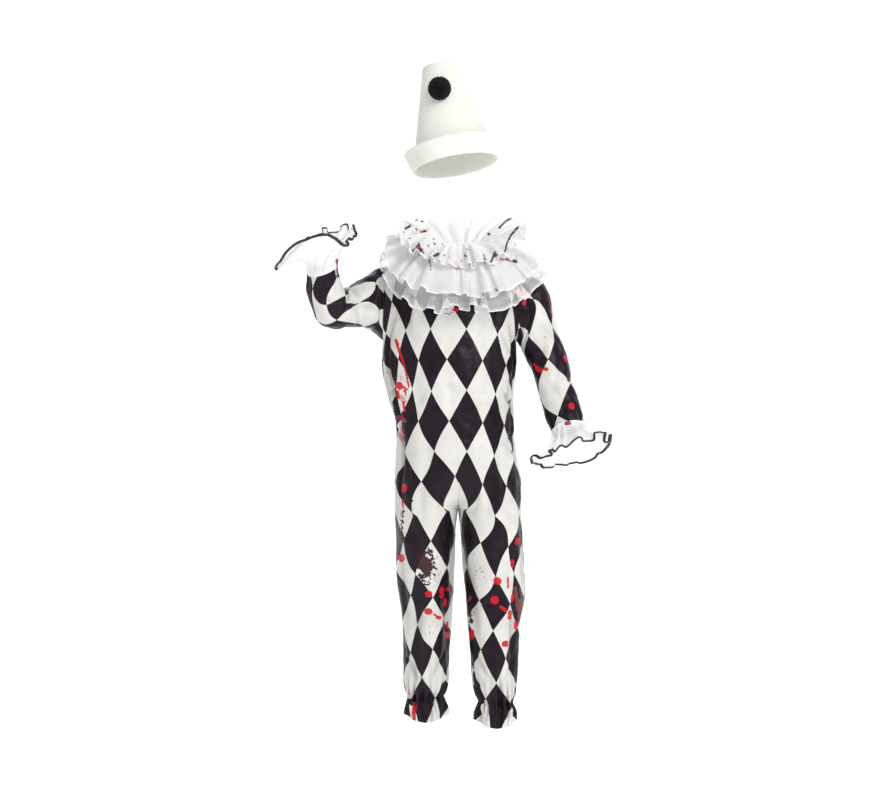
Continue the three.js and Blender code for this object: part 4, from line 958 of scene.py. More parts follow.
class Sleeve:
    """One sleeve: rings that span its outer and inner lines and are round across them."""

    def __init__(self, word, hole, rows):
        self.word = word
        self.hole = hole
        self.outer = np.vstack([hole["tip"], places(rows, "ox oy oz")])
        self.inner = np.vstack([[hole["pit_x"], 0, hole["pit_z"]], places(rows, "ix iy iz")])
        cross = np.concatenate([[hole["deep"]], rows["cross"]])
        self.widths = {"at": np.arange(len(cross), dtype=float), "cross": cross}

    def middle(self, t):
        return (spline(self.outer, t, False) + spline(self.inner, t, False)) / 2

    def direction(self, t):
        near = 0.02
        return unit(self.middle(np.minimum(t + near, 1)) - self.middle(np.maximum(t - near, 0)))

    def rings(self, t, angle):
        """Points at shares t along the sleeve and angles round it."""
        half = (spline(self.outer, t, False) - spline(self.inner, t, False)) / 2
        square = unit(np.cross(self.direction(t), half)) * self.hole["side"]
        front = unit(mix(np.array([0, -1.0, 0]), square, smooth(t / SLEEVE_TURN)[:, None]))
        cross = reading(self.widths, "at", "cross", t * (len(self.widths["at"]) - 1))
        ring = self.middle(t)[:, None] + half[:, None] * np.cos(angle)[None, :, None]
        ring = ring + front[:, None] * (cross[:, None] * np.sin(angle)[None, :])[..., None]
        ring[t == 0] = armhole_point(self.hole, angle) + np.array([self.hole["side"] * SEW_GAP, 0, 0])
        return ring

    def print_at(self, base, t, width):
        """Column and row of the diamond print, measured from the middle of the front."""
        middles = self.middle(t)
        s = np.concatenate([[0], np.cumsum(np.linalg.norm(np.diff(middles, axis=0), axis=-1))])
        rows = SLEEVE_PRINT[self.word]
        arc = arcs(base)
        arc = (arc - arc[:, [SLEEVE_FRONT]]) * -self.hole["side"]
        shift = np.interp(s, rows["s"], rows["shift"])[:, None]
        row = np.interp(s, rows["s"], rows["row"])[:, None]
        return triple(SLEEVE_COLUMN[self.word] + (arc - shift) / width, row, 0)

    def grid(self, width):
        """Folded surface, normals and marks of the sleeve."""
        t = np.linspace(0, 1, SLEEVE_ROWS + 1)
        angle = np.arange(SLEEVE_COLUMNS) / SLEEVE_COLUMNS * TAU
        base = self.rings(t, angle)
        normals = outward(base)
        degrees = np.degrees(angle)[None, :]
        sunk = np.zeros(base.shape[:2])
        for at, turn, long, wide, deep, slant in zip(*SLEEVE_FOLDS[self.word].values()):
            off = (degrees - turn - slant * (t[:, None] - at) + 180) % 360 - 180
            sunk = sunk + deep * np.exp(-((off / wide) ** 2) - ((t[:, None] - at) / long) ** 2)
        # Painted shade: how much the satin's white is darkened deep in the sleeve's folds, where shade falls.
        painted_shade = PAINTED_SHADE["share"] * smooth(sunk / PAINTED_SHADE["folds"])
        seam = (degrees - SLEEVE_SEAM / SLEEVE_COLUMNS * 360 + 180) % 360 - 180
        sunk = sunk + SLEEVE_SEAM_DIP["deep"] * np.exp(-((seam / SLEEVE_SEAM_DIP["wide"]) ** 2))
        for more in ripples_of(base, SLEEVE_RIPPLES):
            sunk = sunk + more
        sunk = sunk * smooth(t / 0.05)[:, None]
        grid = base - normals * sunk[..., None]
        normals = outward(grid)
        facing = armhole_facing(self.hole)
        normals[0] = unit(normals[0] - facing * (normals[0] @ facing)[:, None])
        base, grid, normals, painted_shade = (cut_open(rings) for rings in (base, grid, normals, painted_shade))
        grid[:, 0] += unit(grid[:, 1] - grid[:, 0]) * SEW_GAP / 2
        grid[:, -1] += unit(grid[:, -2] - grid[:, -1]) * SEW_GAP / 2
        front = normals[..., 1] < 0
        pattern = self.print_at(base, t, width)
        pattern = ease_print(pattern, base, front, TIPS_SLEEVES[self.word], TIP_REACH["sleeve"])
        return grid, normals, {"print": pattern, "painted_shade": painted_shade}


def pleat(share, waves):
    """Height of the pleats at a share of the way round: rounded tops and hollows."""
    turn = share * TAU
    wave = np.sin(turn * waves + PLEAT["start"] * TAU)
    uneven = 1 + PLEAT["uneven"] * np.sin(turn * PLEAT["beats"])
    return uneven * np.tanh(PLEAT["steep"] * wave) / math.tanh(PLEAT["steep"])


def waved(grid, waves, height, seed, strength=None, wander=0.34):
    """Moves a ring grid out and in by pleats that deepen to the hem, with small gathers at its root."""
    rows, columns = grid.shape[:2]
    t = np.linspace(0, 1, rows)[:, None]
    share = (np.arange(columns) / columns)[None, :]
    turn = share * TAU
    circle = triple(np.cos(turn), np.sin(turn), 0) * LIVELY["radius"]
    lively = ripple(circle, LIVELY["place"], seed)
    drift = share + wander / waves * lively
    if strength is None:
        loose = ripple(circle + [0, 0, 2 * LIVELY["radius"]], LIVELY["height"], seed + 5)
        strength = np.clip(1 + LIVELY["share"] * loose, LIVELY["least"], LIVELY["most"])
    deep = height * t ** PLEAT["deepen"] * pleat(drift, waves) * strength
    small = SMALL_GATHERS["deep"] * np.sin(np.pi * np.clip(t / SMALL_GATHERS["length"], 0, 1)) ** 0.5
    small = small * (1 - t) ** SMALL_GATHERS["fade"]
    small = small * np.sin(turn * waves * SMALL_GATHERS["a_wave"] + 2 * lively)
    curl = HEM_CURL["deep"] * strength * t ** HEM_CURL["late"]
    curl = curl * np.sin(turn * waves * HEM_CURL["a_wave"] + 3 * lively)
    normals = outward(grid)
    along = np.roll(grid, -1, axis=1) - np.roll(grid, 1, axis=1)
    around = np.linalg.norm(along, axis=-1).sum(axis=1, keepdims=True) / 2
    phase = 2 * (TAU * waves * drift + PLEAT["start"] * TAU)
    fold = -OVERLAP * around / waves * t * np.sin(phase) * strength
    return grid + normals * (deep + small + curl)[..., None] + unit(along) * fold[..., None]


def arched_rows(root, knee, hem, rows):
    """Rows of points from a root to a hem, in one even curve drawn towards a knee."""
    t = np.linspace(0, 1, rows + 1)[:, None, None]
    return mix(mix(root, knee, t), mix(knee, hem, t), t)


def flounce_grid(sleeve, hem_rows, seed):
    """A flounce sewn to a sleeve's end: it leaves along the arm and flares to its hem."""
    columns = CUFF["waves"] * CUFF["steps"]
    share = np.arange(columns) / columns
    end = np.array([1.0])
    along = sleeve.direction(end)[0]
    hem = spline(places(hem_rows), share, True)
    root = sleeve.rings(end, share * TAU)[0] + along * SEW_GAP
    reach = np.linalg.norm(hem - root, axis=-1, keepdims=True)
    grid = arched_rows(root, root + along * reach * CUFF["lean"], hem, CUFF["rows"])
    lively = np.append(hem_rows["lively"], hem_rows["lively"][0])
    strength = np.interp(share, np.linspace(0, 1, len(lively)), lively)
    return waved(grid, CUFF["waves"], CUFF["height"], seed, strength[None, :], CUFF["wander"])


def edge_tube(path, out, square, wide, thick, sides):
    """A closed strip of oval section along a closed path."""
    turn = np.arange(sides) / sides * TAU
    ring = path[:, None] + out[:, None] * (wide / 2 * np.cos(turn))[None, :, None]
    ring = ring + square[:, None] * (thick / 2 * np.sin(turn))[None, :, None]
    count = len(path)
    i, j = np.meshgrid(np.arange(count), np.arange(sides), indexing="ij")
    ahead, up = (i + 1) % count, (j + 1) % sides
    quads = np.stack([i * sides + j, ahead * sides + j, ahead * sides + up, i * sides + up], -1)
    points = ring.reshape(-1, 3)
    return points, facing_out(points, quads.reshape(-1, 4))


def edge_strip(name, grid, normals, gap, wide, shape, material):
    """A strip along a grid's hem, its middle that far out from it."""
    out = unit(grid[-1] - grid[-2])
    points, quads = edge_tube(grid[-1] + out * gap, out, normals[-1], wide, shape["thick"], shape["sides"])
    return make_object(name, points, quads, material)


def band_point(angle, share):
    """A point of the neck band, by its angle round the neck and its share of the way up."""
    foot = neck_point(angle) + np.array([0, 0, SEW_GAP])
    level = mix(BAND["back"], BAND["front"], (1 + np.cos(angle)) / 2)
    head = neck_point(angle) * BAND["lean"]
    head[..., 2] = level
    return mix(foot, head, share)


def tier_grid(tier, seed):
    """One tier of the collar: gathered on the band, arched over, falling or standing to its hem."""
    columns = tier["waves"] * TIER_COLUMNS_A_WAVE
    share = np.arange(columns) / columns
    angle = share * TAU
    away = triple(np.sin(angle), -np.cos(angle), 0)
    foot = band_point(angle, tier["root"]) + away * SEW_GAP
    hem = spline(places(tier["hem"]), share, True)
    knee = mix(foot, hem, TIER_KNEE) + np.array([0, 0, tier["arch"]])
    return waved(arched_rows(foot, knee, hem, TIER_ROWS), tier["waves"], tier["height"], seed)


# Shader nodes.


def feed(tree, made, inputs):
    """Links sockets to a node's inputs, or sets their values, by the input's name or number."""
    for name, value in inputs.items():
        if isinstance(value, bpy.types.NodeSocket):
            tree.links.new(value, made.inputs[name])
        else:
            made.inputs[name].default_value = value


def node(tree, kind, inputs=None, **settings):
    """Adds a node with its settings and its inputs."""
    made = tree.nodes.new(kind)
    for name, value in settings.items():
        setattr(made, name, value)
    feed(tree, made, inputs or {})
    return made


def maths(tree, operation, a, b=0.0, clamp=False):
    return node(tree, "ShaderNodeMath", {0: a, 1: b}, operation=operation, use_clamp=clamp).outputs[0]


def plus(tree, a, b):
    return maths(tree, "ADD", a, b)


def times(tree, a, b):
    return maths(tree, "MULTIPLY", a, b)


def blend(tree, factor, a, b):
    """Colour a turning to colour b."""
    a, b = (end if isinstance(end, bpy.types.NodeSocket) else (*end[:3], 1) for end in (a, b))
    return node(tree, "ShaderNodeMix", {"Factor": factor, 6: a, 7: b}, data_type="RGBA").outputs[2]


def toned(colour, share):
    return tuple(share * part for part in colour)


def step_up(tree, value, low, high):
    """0 below low, 1 above high, and smooth between."""
    ends = {"Value": value, "From Min": low, "From Max": high}
    return node(tree, "ShaderNodeMapRange", ends, interpolation_type="SMOOTHSTEP").outputs[0]


def mark(tree, name, output="Fac"):
    return node(tree, "ShaderNodeAttribute", attribute_name=name).outputs[output]


def noise(tree, scale, detail=2.0, **more):
    """Noise over the piece's own coordinates."""
    where = node(tree, "ShaderNodeTexCoord").outputs["Object"]
    inputs = {"Vector": where, "Scale": scale, "Detail": detail, **more}
    return node(tree, "ShaderNodeTexNoise", inputs).outputs[0]


def emboss(tree, shader, height, strength, distance):
    """Gives a shader small bumps of that height."""
    bump = node(tree, "ShaderNodeBump", {"Height": height, "Strength": strength, "Distance": distance})
    tree.links.new(bump.outputs[0], shader.inputs["Normal"])


def new_group(name, ins, outs):
    """An empty node group. ins and outs name its sockets and their kinds."""
    group = bpy.data.node_groups.new(name, "ShaderNodeTree")
    for label, kind, value in ins:
        socket = group.interface.new_socket(name=label, in_out="INPUT", socket_type="NodeSocket" + kind)
        if value is not None:
            socket.default_value = value
    for label, kind in outs:
        group.interface.new_socket(name=label, in_out="OUTPUT", socket_type="NodeSocket" + kind)
    return group, group.nodes.new("NodeGroupInput").outputs, group.nodes.new("NodeGroupOutput").inputs


def diamond_group():
    """Which colour of the print a point has: 0 in the white diamonds and 1 in the black ones."""
    group, given, result = new_group("Diamond print", [("Place", "Vector", None)], [("Black", "Float")])
    parts = node(group, "ShaderNodeSeparateXYZ", {0: given["Place"]}).outputs
    down = maths(group, "FLOOR", plus(group, parts[1], parts[0]))
    up = maths(group, "FLOOR", maths(group, "SUBTRACT", parts[1], parts[0]))
    group.links.new(maths(group, "FLOORED_MODULO", plus(group, down, up), 2.0), result["Black"])
    return group


def spot_group():
    """Mask of a printed spot from its distance inside, with a ragged edge."""
    ins = [("Inside", "Float", 0.0), ("Ragged", "Float", 0.5), ("Grain", "Float", 160.0)]
    group, given, result = new_group("Spot edge", ins, [("Mask", "Float")])
    uneven_edge = maths(group, "SUBTRACT", noise(group, given["Grain"], 5.0), 0.5)
    shift = times(group, times(group, uneven_edge, given["Ragged"]), 2.0)
    group.links.new(step_up(group, plus(group, given["Inside"], shift), -0.12, 0.12), result["Mask"])
    return group


def specks_group():
    """Mask of fine scattered specks, more of them where the amount is larger."""
    group, given, result = new_group("Fine specks", [("Amount", "Float", 0.0)], [("Mask", "Float")])
    where = node(group, "ShaderNodeTexCoord").outputs["Object"]
    cells = node(group, "ShaderNodeTexVoronoi", {"Vector": where, "Scale": 250.0, "Randomness": 1.0}).outputs
    chance = node(group, "ShaderNodeSeparateXYZ", {0: cells["Color"]}).outputs
    picked = maths(group, "LESS_THAN", chance[0], given["Amount"])
    size = plus(group, times(group, chance[1], 0.3), 0.14)
    dot = maths(group, "LESS_THAN", cells["Distance"], size)
    group.links.new(times(group, picked, dot), result["Mask"])
    return group


def weave_group():
    """Height of a fine weave with uneven yarns, and soft creases."""
    ins = [("Yarns", "Float", 2600.0), ("Creases", "Float", 28.0)]
    group, given, result = new_group("Weave and creases", ins, [("Height", "Float"), ("Cloud", "Float")])
    yarn = noise(group, given["Yarns"], 1.0)
    crease = noise(group, given["Creases"], 3.0, Roughness=0.45, Distortion=0.6)
    group.links.new(plus(group, times(group, yarn, 0.02), crease), result["Height"])
    group.links.new(crease, result["Cloud"])
    return group


EFFECTS = {"diamond": diamond_group, "spot": spot_group, "weave": weave_group, "specks": specks_group}


def kept(key, make):
    """The material or node group of that name, made once."""
    if key not in kept.store:
        kept.store[key] = make()
    return kept.store[key]


kept.store = {}


def effect(tree, word, inputs):
    """Places a shared effect in a material with its own values, and gives its outputs."""
    return node(tree, "ShaderNodeGroup", inputs, node_tree=kept("group " + word, EFFECTS[word])).outputs


def new_material(name):
    material = bpy.data.materials.new(name)
    material.use_nodes = True
    tree = material.node_tree
    return material, tree, tree.nodes["Principled BSDF"]


# Tone, colour, raggedness in pixels and cover of the stains, on the satin and on the organza.
SPOT_LOOKS = (
    ("pink", (0.62, 0.1, 0.12), 2.2, 0.6),
    ("dark", (0.032, 0.002, 0.003), 5.0, 0.97),
    ("red", (0.55, 0.006, 0.012), 1.0, 0.96),
    ("black", (0.02, 0.014, 0.018), 0.5, 0.9),
)
SHEER_LOOKS = (
    ("pink", (0.7, 0.4, 0.42), 2.4, 0.7),
    ("red", (0.24, 0.008, 0.03), 0.9, 0.97),
    ("dark", (0.055, 0.005, 0.014), 0.6, 1.0),
    ("black", (0.02, 0.014, 0.018), 0.7, 0.97),
)


def add_spots(tree, colour, looks, weak=0.0):
    """Lays the printed spots over a colour, weaker where weak is 1. Also gives the mask of them all."""
    spots = None
    for tone, shade, ragged, cover in looks:
        mask = effect(tree, "spot", {"Inside": mark(tree, "spot_" + tone), "Ragged": ragged})["Mask"]
        if tone in ("dark", "pink"):
            mask = times(tree, mask, maths(tree, "SUBTRACT", 1.0, times(tree, weak, 0.5)))
        colour = blend(tree, times(tree, mask, cover), colour, shade)
        spots = mask if spots is None else maths(tree, "MAXIMUM", spots, mask)
    return colour, spots


def satin_material(settings):
    """Printed satin: diamonds, blood spots, fine specks, soft creases, painted shade in folds and gathers,
    and a paler dull inside.
    """
    material, tree, shader = new_material("Printed satin")
    black = effect(tree, "diamond", {"Place": mark(tree, "print", "Vector")})["Black"]
    weave = effect(tree, "weave", {"Creases": 24.0})
    cloud = step_up(tree, weave["Cloud"], 0.3, 0.7)
    white = blend(tree, cloud, settings.white, toned(settings.white, 0.9))
    # Painted shade: the white darkens towards 0.3 of itself in folds and gathers, where shade falls.
    white = blend(tree, mark(tree, "painted_shade"), white, toned(settings.white, 0.3))
    dark = blend(tree, cloud, settings.black, toned(settings.black, 1.3))
    colour, _ = add_spots(tree, blend(tree, black, white, dark), SPOT_LOOKS, black)
    specks = effect(tree, "specks", {"Amount": mark(tree, "specks")})["Mask"]
    colour = blend(tree, times(tree, specks, 0.75), colour, (0.03, 0.025, 0.03))
    inside = mark(tree, "inside")
    back = blend(tree, times(tree, black, 0.45), (0.62, 0.61, 0.58), (0.2, 0.19, 0.2))
    rough = plus(tree, times(tree, cloud, 0.08), times(tree, inside, 0.25))
    feed(tree, shader, {
        "Base Color": blend(tree, inside, colour, back),
        "Roughness": plus(tree, rough, settings.roughness),
        "Specular IOR Level": 0.2,
        "Specular Tint": (1, 0.86, 0.98, 1),
        "Sheen Weight": 0.02,
    })
    emboss(tree, shader, weave["Height"], 0.6, 0.009)
    return material


def organza_material(name, settings, cover):
    """Sheer organza: each layer hides part of what is behind, a rolled edge hides more, and a faint painted
    glow lightens it.
    """
    material, tree, shader = new_material(name)
    weave = effect(tree, "weave", {"Creases": 60.0})
    cloud = step_up(tree, weave["Cloud"], 0.25, 0.75)
    colour = blend(tree, cloud, settings.sheer, toned(settings.sheer, 0.95))
    colour, spots = add_spots(tree, colour, SHEER_LOOKS)
    alpha = plus(tree, times(tree, cloud, 0.025), cover)
    alpha = plus(tree, alpha, times(tree, mark(tree, "edge"), 0.35))
    alpha = plus(tree, alpha, times(tree, mark(tree, "dense"), 0.55))
    feed(tree, shader, {
        "Base Color": colour,
        "Alpha": maths(tree, "ADD", alpha, times(tree, spots, 0.9), clamp=True),
        "Roughness": 0.42,
        "Sheen Weight": 0.3,
        # Painted light: the organza glows faintly in its own colour, standing in for light passing through
        # its layers.
        "Emission Color": colour,
        "Emission Strength": 0.05,
    })
    emboss(tree, shader, weave["Height"], 0.25, 0.003)
    return material


def plain_cloth(name, colour, rough, sheen):
    """Plain woven cloth with small changes of tone."""
    material, tree, shader = new_material(name)
    weave = effect(tree, "weave", {"Creases": 90.0})
    cloud = step_up(tree, weave["Cloud"], 0.3, 0.7)
    feed(tree, shader, {
        "Base Color": blend(tree, cloud, colour, toned(colour, 0.85)),
        "Roughness": rough,
        "Sheen Weight": sheen,
    })
    emboss(tree, shader, weave["Height"], 0.3, 0.002)
    return material


def felt_material(settings):
    """Pressed felt: matted fibres, a soft nap and slightly uneven thickness."""
    material, tree, shader = new_material("White felt")
    fibre = noise(tree, 900.0, 6.0, Roughness=0.7)
    matting = noise(tree, 90.0, 4.0)
    tone = step_up(tree, plus(tree, fibre, matting), 0.7, 1.3)
    feed(tree, shader, {
        "Base Color": blend(tree, tone, toned(settings.felt, 0.93), settings.felt),
        "Roughness": 0.95,
        "Sheen Weight": 0.4,
        "Sheen Roughness": 0.6,
    })
    height = plus(tree, times(tree, fibre, 0.15), times(tree, matting, 0.3))
    emboss(tree, shader, plus(tree, height, noise(tree, 14.0)), 0.35, 0.004)
    return material


def yarn_material(settings):
    """Black yarn of the pompom."""
    material, tree, shader = new_material("Black yarn")
    tone = step_up(tree, noise(tree, 240.0, 3.0), 0.35, 0.65)
    feed(tree, shader, {
        "Base Color": blend(tree, tone, settings.yarn, toned(settings.yarn, 2.2)),
        "Roughness": 0.9,
        "Specular IOR Level": 0.2,
        "Sheen Weight": 0.06,
    })
    return material


def finish_piece(obj, slot, *nodes):
    """Ties a piece to the costume's body and hides the solids that it stands for."""
    if nodes:
        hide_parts(*nodes)
    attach(obj, "root")
    return obj


def length_property(name, description, default):
    return bpy.props.FloatProperty(name=name, description=description, default=default * MM, unit="LENGTH")


def share_property(name, description, default):
    return bpy.props.FloatProperty(
        name=name, description=description, subtype="FACTOR", min=0, max=1, default=default
    )


def colour_property(name, description, default):
    return bpy.props.FloatVectorProperty(
        name=name, description=description, subtype="COLOR", size=3, min=0, max=1, default=default
    )


class SuitSettings(bpy.types.PropertyGroup):
    """Cloth and print of the suit."""

    wall: length_property("Cloth thickness", "Thickness of the satin", SATIN_WALL)
    diamond: length_property("Diamond width", "Width of one diamond of the print", 73)
    roughness: share_property("Roughness", "How dull the satin is", 0.34)
    white: colour_property("White", "White of the print", (0.7, 0.693, 0.655))
    black: colour_property("Black", "Black of the print", (0.007, 0.0045, 0.0075))


class FrillSettings(bpy.types.PropertyGroup):
    """Sheer cloth of the collar and cuffs."""

    wall: length_property("Sheer thickness", "Thickness of the organza", 0.4)
    hem: length_property("Rolled hem", "Width of the collar's rolled hems", 2.0)
    collar_cover: share_property("Collar cover", "How much one face of a collar tier hides", 0.15)
    cuff_cover: share_property("Cuff cover", "How much one face of a cuff flounce hides", 0.34)
    sheer: colour_property("Organza", "Colour of the organza", (0.94, 0.94, 0.94))
    binding: colour_property("Binding", "Colour of the bound edge", (0.012, 0.011, 0.013))


class HatSettings(bpy.types.PropertyGroup):
    """Felt hat and its pompom."""

    felt: colour_property("Felt", "Colour of the felt", (0.86, 0.855, 0.79))
    yarn: colour_property("Yarn", "Colour of the pompom", (0.009, 0.008, 0.01))


class StageSettings(bpy.types.PropertyGroup):
    """Floor, light and camera."""

    floor: length_property("Floor height", "Height of the floor under the costume", -1145)
    lens: bpy.props.FloatProperty(
        name="Lens", description="Focal length of the camera in mm", default=64.29, unit="CAMERA"
    )
    glow: bpy.props.FloatProperty(
        name="Backdrop glow", description="Light that the backdrop gives off, as one lit from behind does",
        default=0.45, min=0,
    )
    pale: colour_property("Floor colour", "Colour of floor and backdrop", (0.9, 0.9, 0.9))


def declare_hung(obj, grid, spare, digits):
    """Works out a hung sheet's longest row and column, with that much to spare, in metres, and its area, and
    keeps none of them.
    """
    width, length = (round(float(lengths(grid, axis).max()) + spare, digits) for axis in (1, 0))
    round(sheet_area(grid, False), digits + 1)


def declare_frill(grid):
    """Works out a gathered strip's size, as long as its hem and as wide as the cloth is deep, with some to
    spare, and its area, and keeps none of them.
    """
    width = round(float(lengths(grid, 0).max()) + FRILL["spare"], 3)
    length = round(float(lengths(grid, 1, True).max()) + FRILL["spare"], 3)
    area = round(max(sheet_area(grid, True), FRILL["least"] * width * length), 5)


def satin_sheet(name, grid, normals, marks, wall, node_name):
    """A hung piece of printed satin, in the place of one solid."""
    settings = bpy.context.scene.costume_suit
    satin = kept("satin", lambda: satin_material(settings))
    return finish_piece(wall_object(name, grid, normals, wall, False, satin, marks), "satin", node_name)


class COSTUME_OT_suit(bpy.types.Operator):
    """Makes the suit's four long panels"""

    bl_idname = "costume.suit"
    bl_label = "Suit panels"

    def execute(self, context):
        settings = context.scene.costume_suit
        for name, panel in suit_panels(settings.diamond / MM).items():
            grid, normals = panel["grid"], panel["normals"]
            marks = {key: panel[key] for key in ("print", "painted_shade")}
            marks.update(spot_fields(grid, front_share(normals), SUIT_SPOTS))
            obj = satin_sheet("suit_" + name, grid, normals, marks, settings.wall / MM, name)
            declare_hung(obj, grid, 0.01, 3)
        return {"FINISHED"}


class COSTUME_OT_placket(bpy.types.Operator):
    """Makes the strip lapped over the centre back opening"""

    bl_idname = "costume.placket"
    bl_label = "Back placket"

    def execute(self, context):
        grid, normals, pattern = placket_grid(context.scene.costume_suit.diamond / MM)
        nowhere = np.zeros(grid.shape[:2])
        marks = {"print": pattern, "painted_shade": nowhere, **spot_fields(grid, nowhere, SUIT_SPOTS)}
        obj = satin_sheet("back_opening_placket", grid, normals, marks, PLACKET["wall"], "back_placket")
        declare_hung(obj, grid, 0.001, 4)
        return {"FINISHED"}


def placket_grid(width):
    """The strip laid on the two back panels, with a groove along each row of stitches."""
    sides = {}
    for side in (-1, 1):
        panel = panel_grid(side, 1)
        both = np.concatenate([panel, panel_print(panel, side, 1, width)], axis=-1)
        sides[side] = (arcs(panel), both)
    across = np.linspace(-1, 1, PLACKET["columns"] + 1) * PLACKET["half_width"]
    rows = []
    for i in range(YOKE_ROWS + TRUNK_ROWS):
        row = []
        for a in across:
            arc, values = sides[-1 if a < 0 else 1]
            row.append([np.interp(abs(a), arc[i], values[i, :, k]) for k in range(6)])
        rows.append(row)
    rows = np.array(rows)
    middle = len(across) // 2
    rows = rows[rows[:, middle, 2] > rows[0, middle, 2] - PLACKET["length"]]
    grid, pattern = rows[..., :3], rows[..., 3:]
    normals = grid_normals(grid, False)
    if normals[:, middle, 1].mean() < 0:
        normals = -normals
    groove = (np.abs(across) - PLACKET["half_width"] + STITCHES["in"]) / STITCHES["wide"]
    out = PLACKET["proud"] + PLACKET["wall"] + SATIN_WALL - STITCHES["deep"] * np.exp(-(groove**2))
    return grid + normals * out[None, :, None], normals, pattern


class COSTUME_OT_sleeves(bpy.types.Operator):
    """Makes both sleeves"""

    bl_idname = "costume.sleeves"
    bl_label = "Sleeves"

    def execute(self, context):
        settings = context.scene.costume_suit
        for sleeve in both_sleeves():
            grid, normals, marks = sleeve.grid(settings.diamond / MM)
            marks.update(spot_fields(grid, front_share(normals), SLEEVE_SPOTS))
            name, node_name = "suit_sleeve_" + sleeve.word, "sleeve_" + sleeve.word
            obj = satin_sheet(name, grid, normals, marks, settings.wall / MM, node_name)
            declare_hung(obj, grid, 0.005, 3)
        return {"FINISHED"}


def both_sleeves():
    return Sleeve("right", ARMHOLE_RIGHT, SLEEVE_RIGHT), Sleeve("left", ARMHOLE_LEFT, SLEEVE_LEFT)


def everywhere(values, grid):
    return np.broadcast_to(values, grid.shape[:2])


class COSTUME_OT_cuffs(bpy.types.Operator):
    """Makes the sheer cuff flounces and their bound edges"""

    bl_idname = "costume.cuffs"
    bl_label = "Cuff flounces"

    def execute(self, context):
        frill = context.scene.costume_frill
        sheer = kept("cuff", lambda: organza_material("Cuff organza", frill, frill.cuff_cover))
        bound = kept("binding", lambda: plain_cloth("Satin binding", frill.binding, 0.45, 0.1))
        for sleeve, hem_rows, seed in zip(both_sleeves(), (FLOUNCE_RIGHT, FLOUNCE_LEFT), SEEDS["cuffs"]):
            grid = flounce_grid(sleeve, hem_rows, seed)
            normals = outward(grid)
            t = np.linspace(0, 1, grid.shape[0])[:, None]
            wrist = np.exp(-t / EDGE_FADE["wrist"])
            hem = np.exp(-(1 - t) / EDGE_FADE["hem"])
            marks = {
                "edge": everywhere(np.maximum(wrist, hem), grid),
                "dense": everywhere((1 - t) ** 1.5 * 0.5, grid),
                **spot_fields(grid, (normals[..., 1] < 0) * 1.0, SLEEVE_SPOTS),
            }
            obj = wall_object("cuff_" + sleeve.word, grid, normals, frill.wall / MM, True, sheer, marks)
            finish_piece(obj, "organza", "cuff_flounce_" + sleeve.word)
            wide = CUFF_BINDING["wide"]
            gap = CUFF_BINDING["gap"] + wide / 2
            strip = edge_strip("cuff_edge_" + sleeve.word, grid, normals, gap, wide, CUFF_BINDING, bound)
            finish_piece(strip, "binding", "cuff_binding_" + sleeve.word)
            declare_frill(grid)
        return {"FINISHED"}


class COSTUME_OT_collar(bpy.types.Operator):
    """Makes the neck band and the three tiers of the collar"""

    bl_idname = "costume.collar"
    bl_label = "Collar"

    def execute(self, context):
        frill = context.scene.costume_frill
        sheer = kept("collar", lambda: organza_material("Collar organza", frill, frill.collar_cover))
        hemmed = kept("hem", lambda: plain_cloth("Rolled hem", frill.sheer, 0.4, 0.3))
        for tier, seed in zip(TIERS, SEEDS["tiers"]):
            grid = tier_grid(tier, seed)
            normals = outward(grid)
            normals[0] = (0, 0, 1)
            t = np.linspace(0, 1, grid.shape[0])[:, None]
            marks = {
                "edge": everywhere(np.exp(-(1 - t) / EDGE_FADE["tier"]), grid),
                "dense": everywhere(tier["cloth"] + (1 - t) ** 0.8, grid),
                **spot_fields(grid, everywhere((grid[-1, :, 1] < COLLAR_FRONT) * 1.0, grid), COLLAR_SPOTS),
            }
            obj = wall_object("ruff_" + tier["word"], grid, normals, frill.wall / MM, True, sheer, marks)
            finish_piece(obj, "organza", "collar_tier_" + tier["word"])
            name, wide = "ruff_hem_" + tier["word"], frill.hem / MM
            roll = edge_strip(name, grid, normals, ROLL["out"], wide, ROLL, hemmed)
            finish_piece(roll, "organza")
            declare_frill(grid)
        self.make_band(frill)
        return {"FINISHED"}

    def make_band(self, frill):
        """The gathered band on the neckline."""
        cloth = kept("band", lambda: organza_material("Band organza", frill, 0.5))
        angle = np.arange(BAND["columns"]) / BAND["columns"] * TAU
        share = np.linspace(0, 1, BAND["rows"] + 1)
        grid = np.stack([band_point(angle, s) for s in share])
        bulge = np.sin(np.pi * share)[:, None]
        gather = np.sin(angle * BAND["gathers"] + 1.5 * np.sin(angle * 7))[None, :]
        grid = grid + outward(grid) * (BAND_SHAPE["bulge"] * bulge * gather - BAND_SHAPE["in"])[..., None]
        grid[..., 2] += BAND_SHAPE["frill"] * share[:, None] ** 3 * gather * (1 + 0.5 * np.sin(angle * 5))
        flat = np.zeros(grid.shape[:2])
        front = (grid[..., 1] < 0) * 1.0
        marks = {"edge": flat, "dense": flat, **spot_fields(grid, front, COLLAR_SPOTS)}
        obj = wall_object("ruff_band", grid, outward(grid), BAND["wall"], True, cloth, marks)
        finish_piece(obj, "organza", "neck_band")
        declare_frill(grid)


def select_none():
    bpy.ops.object.select_all(action="DESELECT")


def hat_matrix():
    """Place and lean of the hat, in metres."""
    turn = Euler((math.radians(-HAT["lean_back"]), math.radians(-HAT["lean_side"]), 0), "XYZ")
    place = Vector((HAT["x"], HAT["y"], HAT["z"])) * MM
    return Matrix.Translation(place) @ turn.to_matrix().to_4x4()


def crown_radius(z):
    if z < CROWN["swell_up"]:
        return mix(CROWN["mouth"], CROWN["swell"], z / CROWN["swell_up"])
    return mix(CROWN["swell"], CROWN["top"], (z - CROWN["swell_up"]) / (CROWN["tall"] - CROWN["swell_up"]))


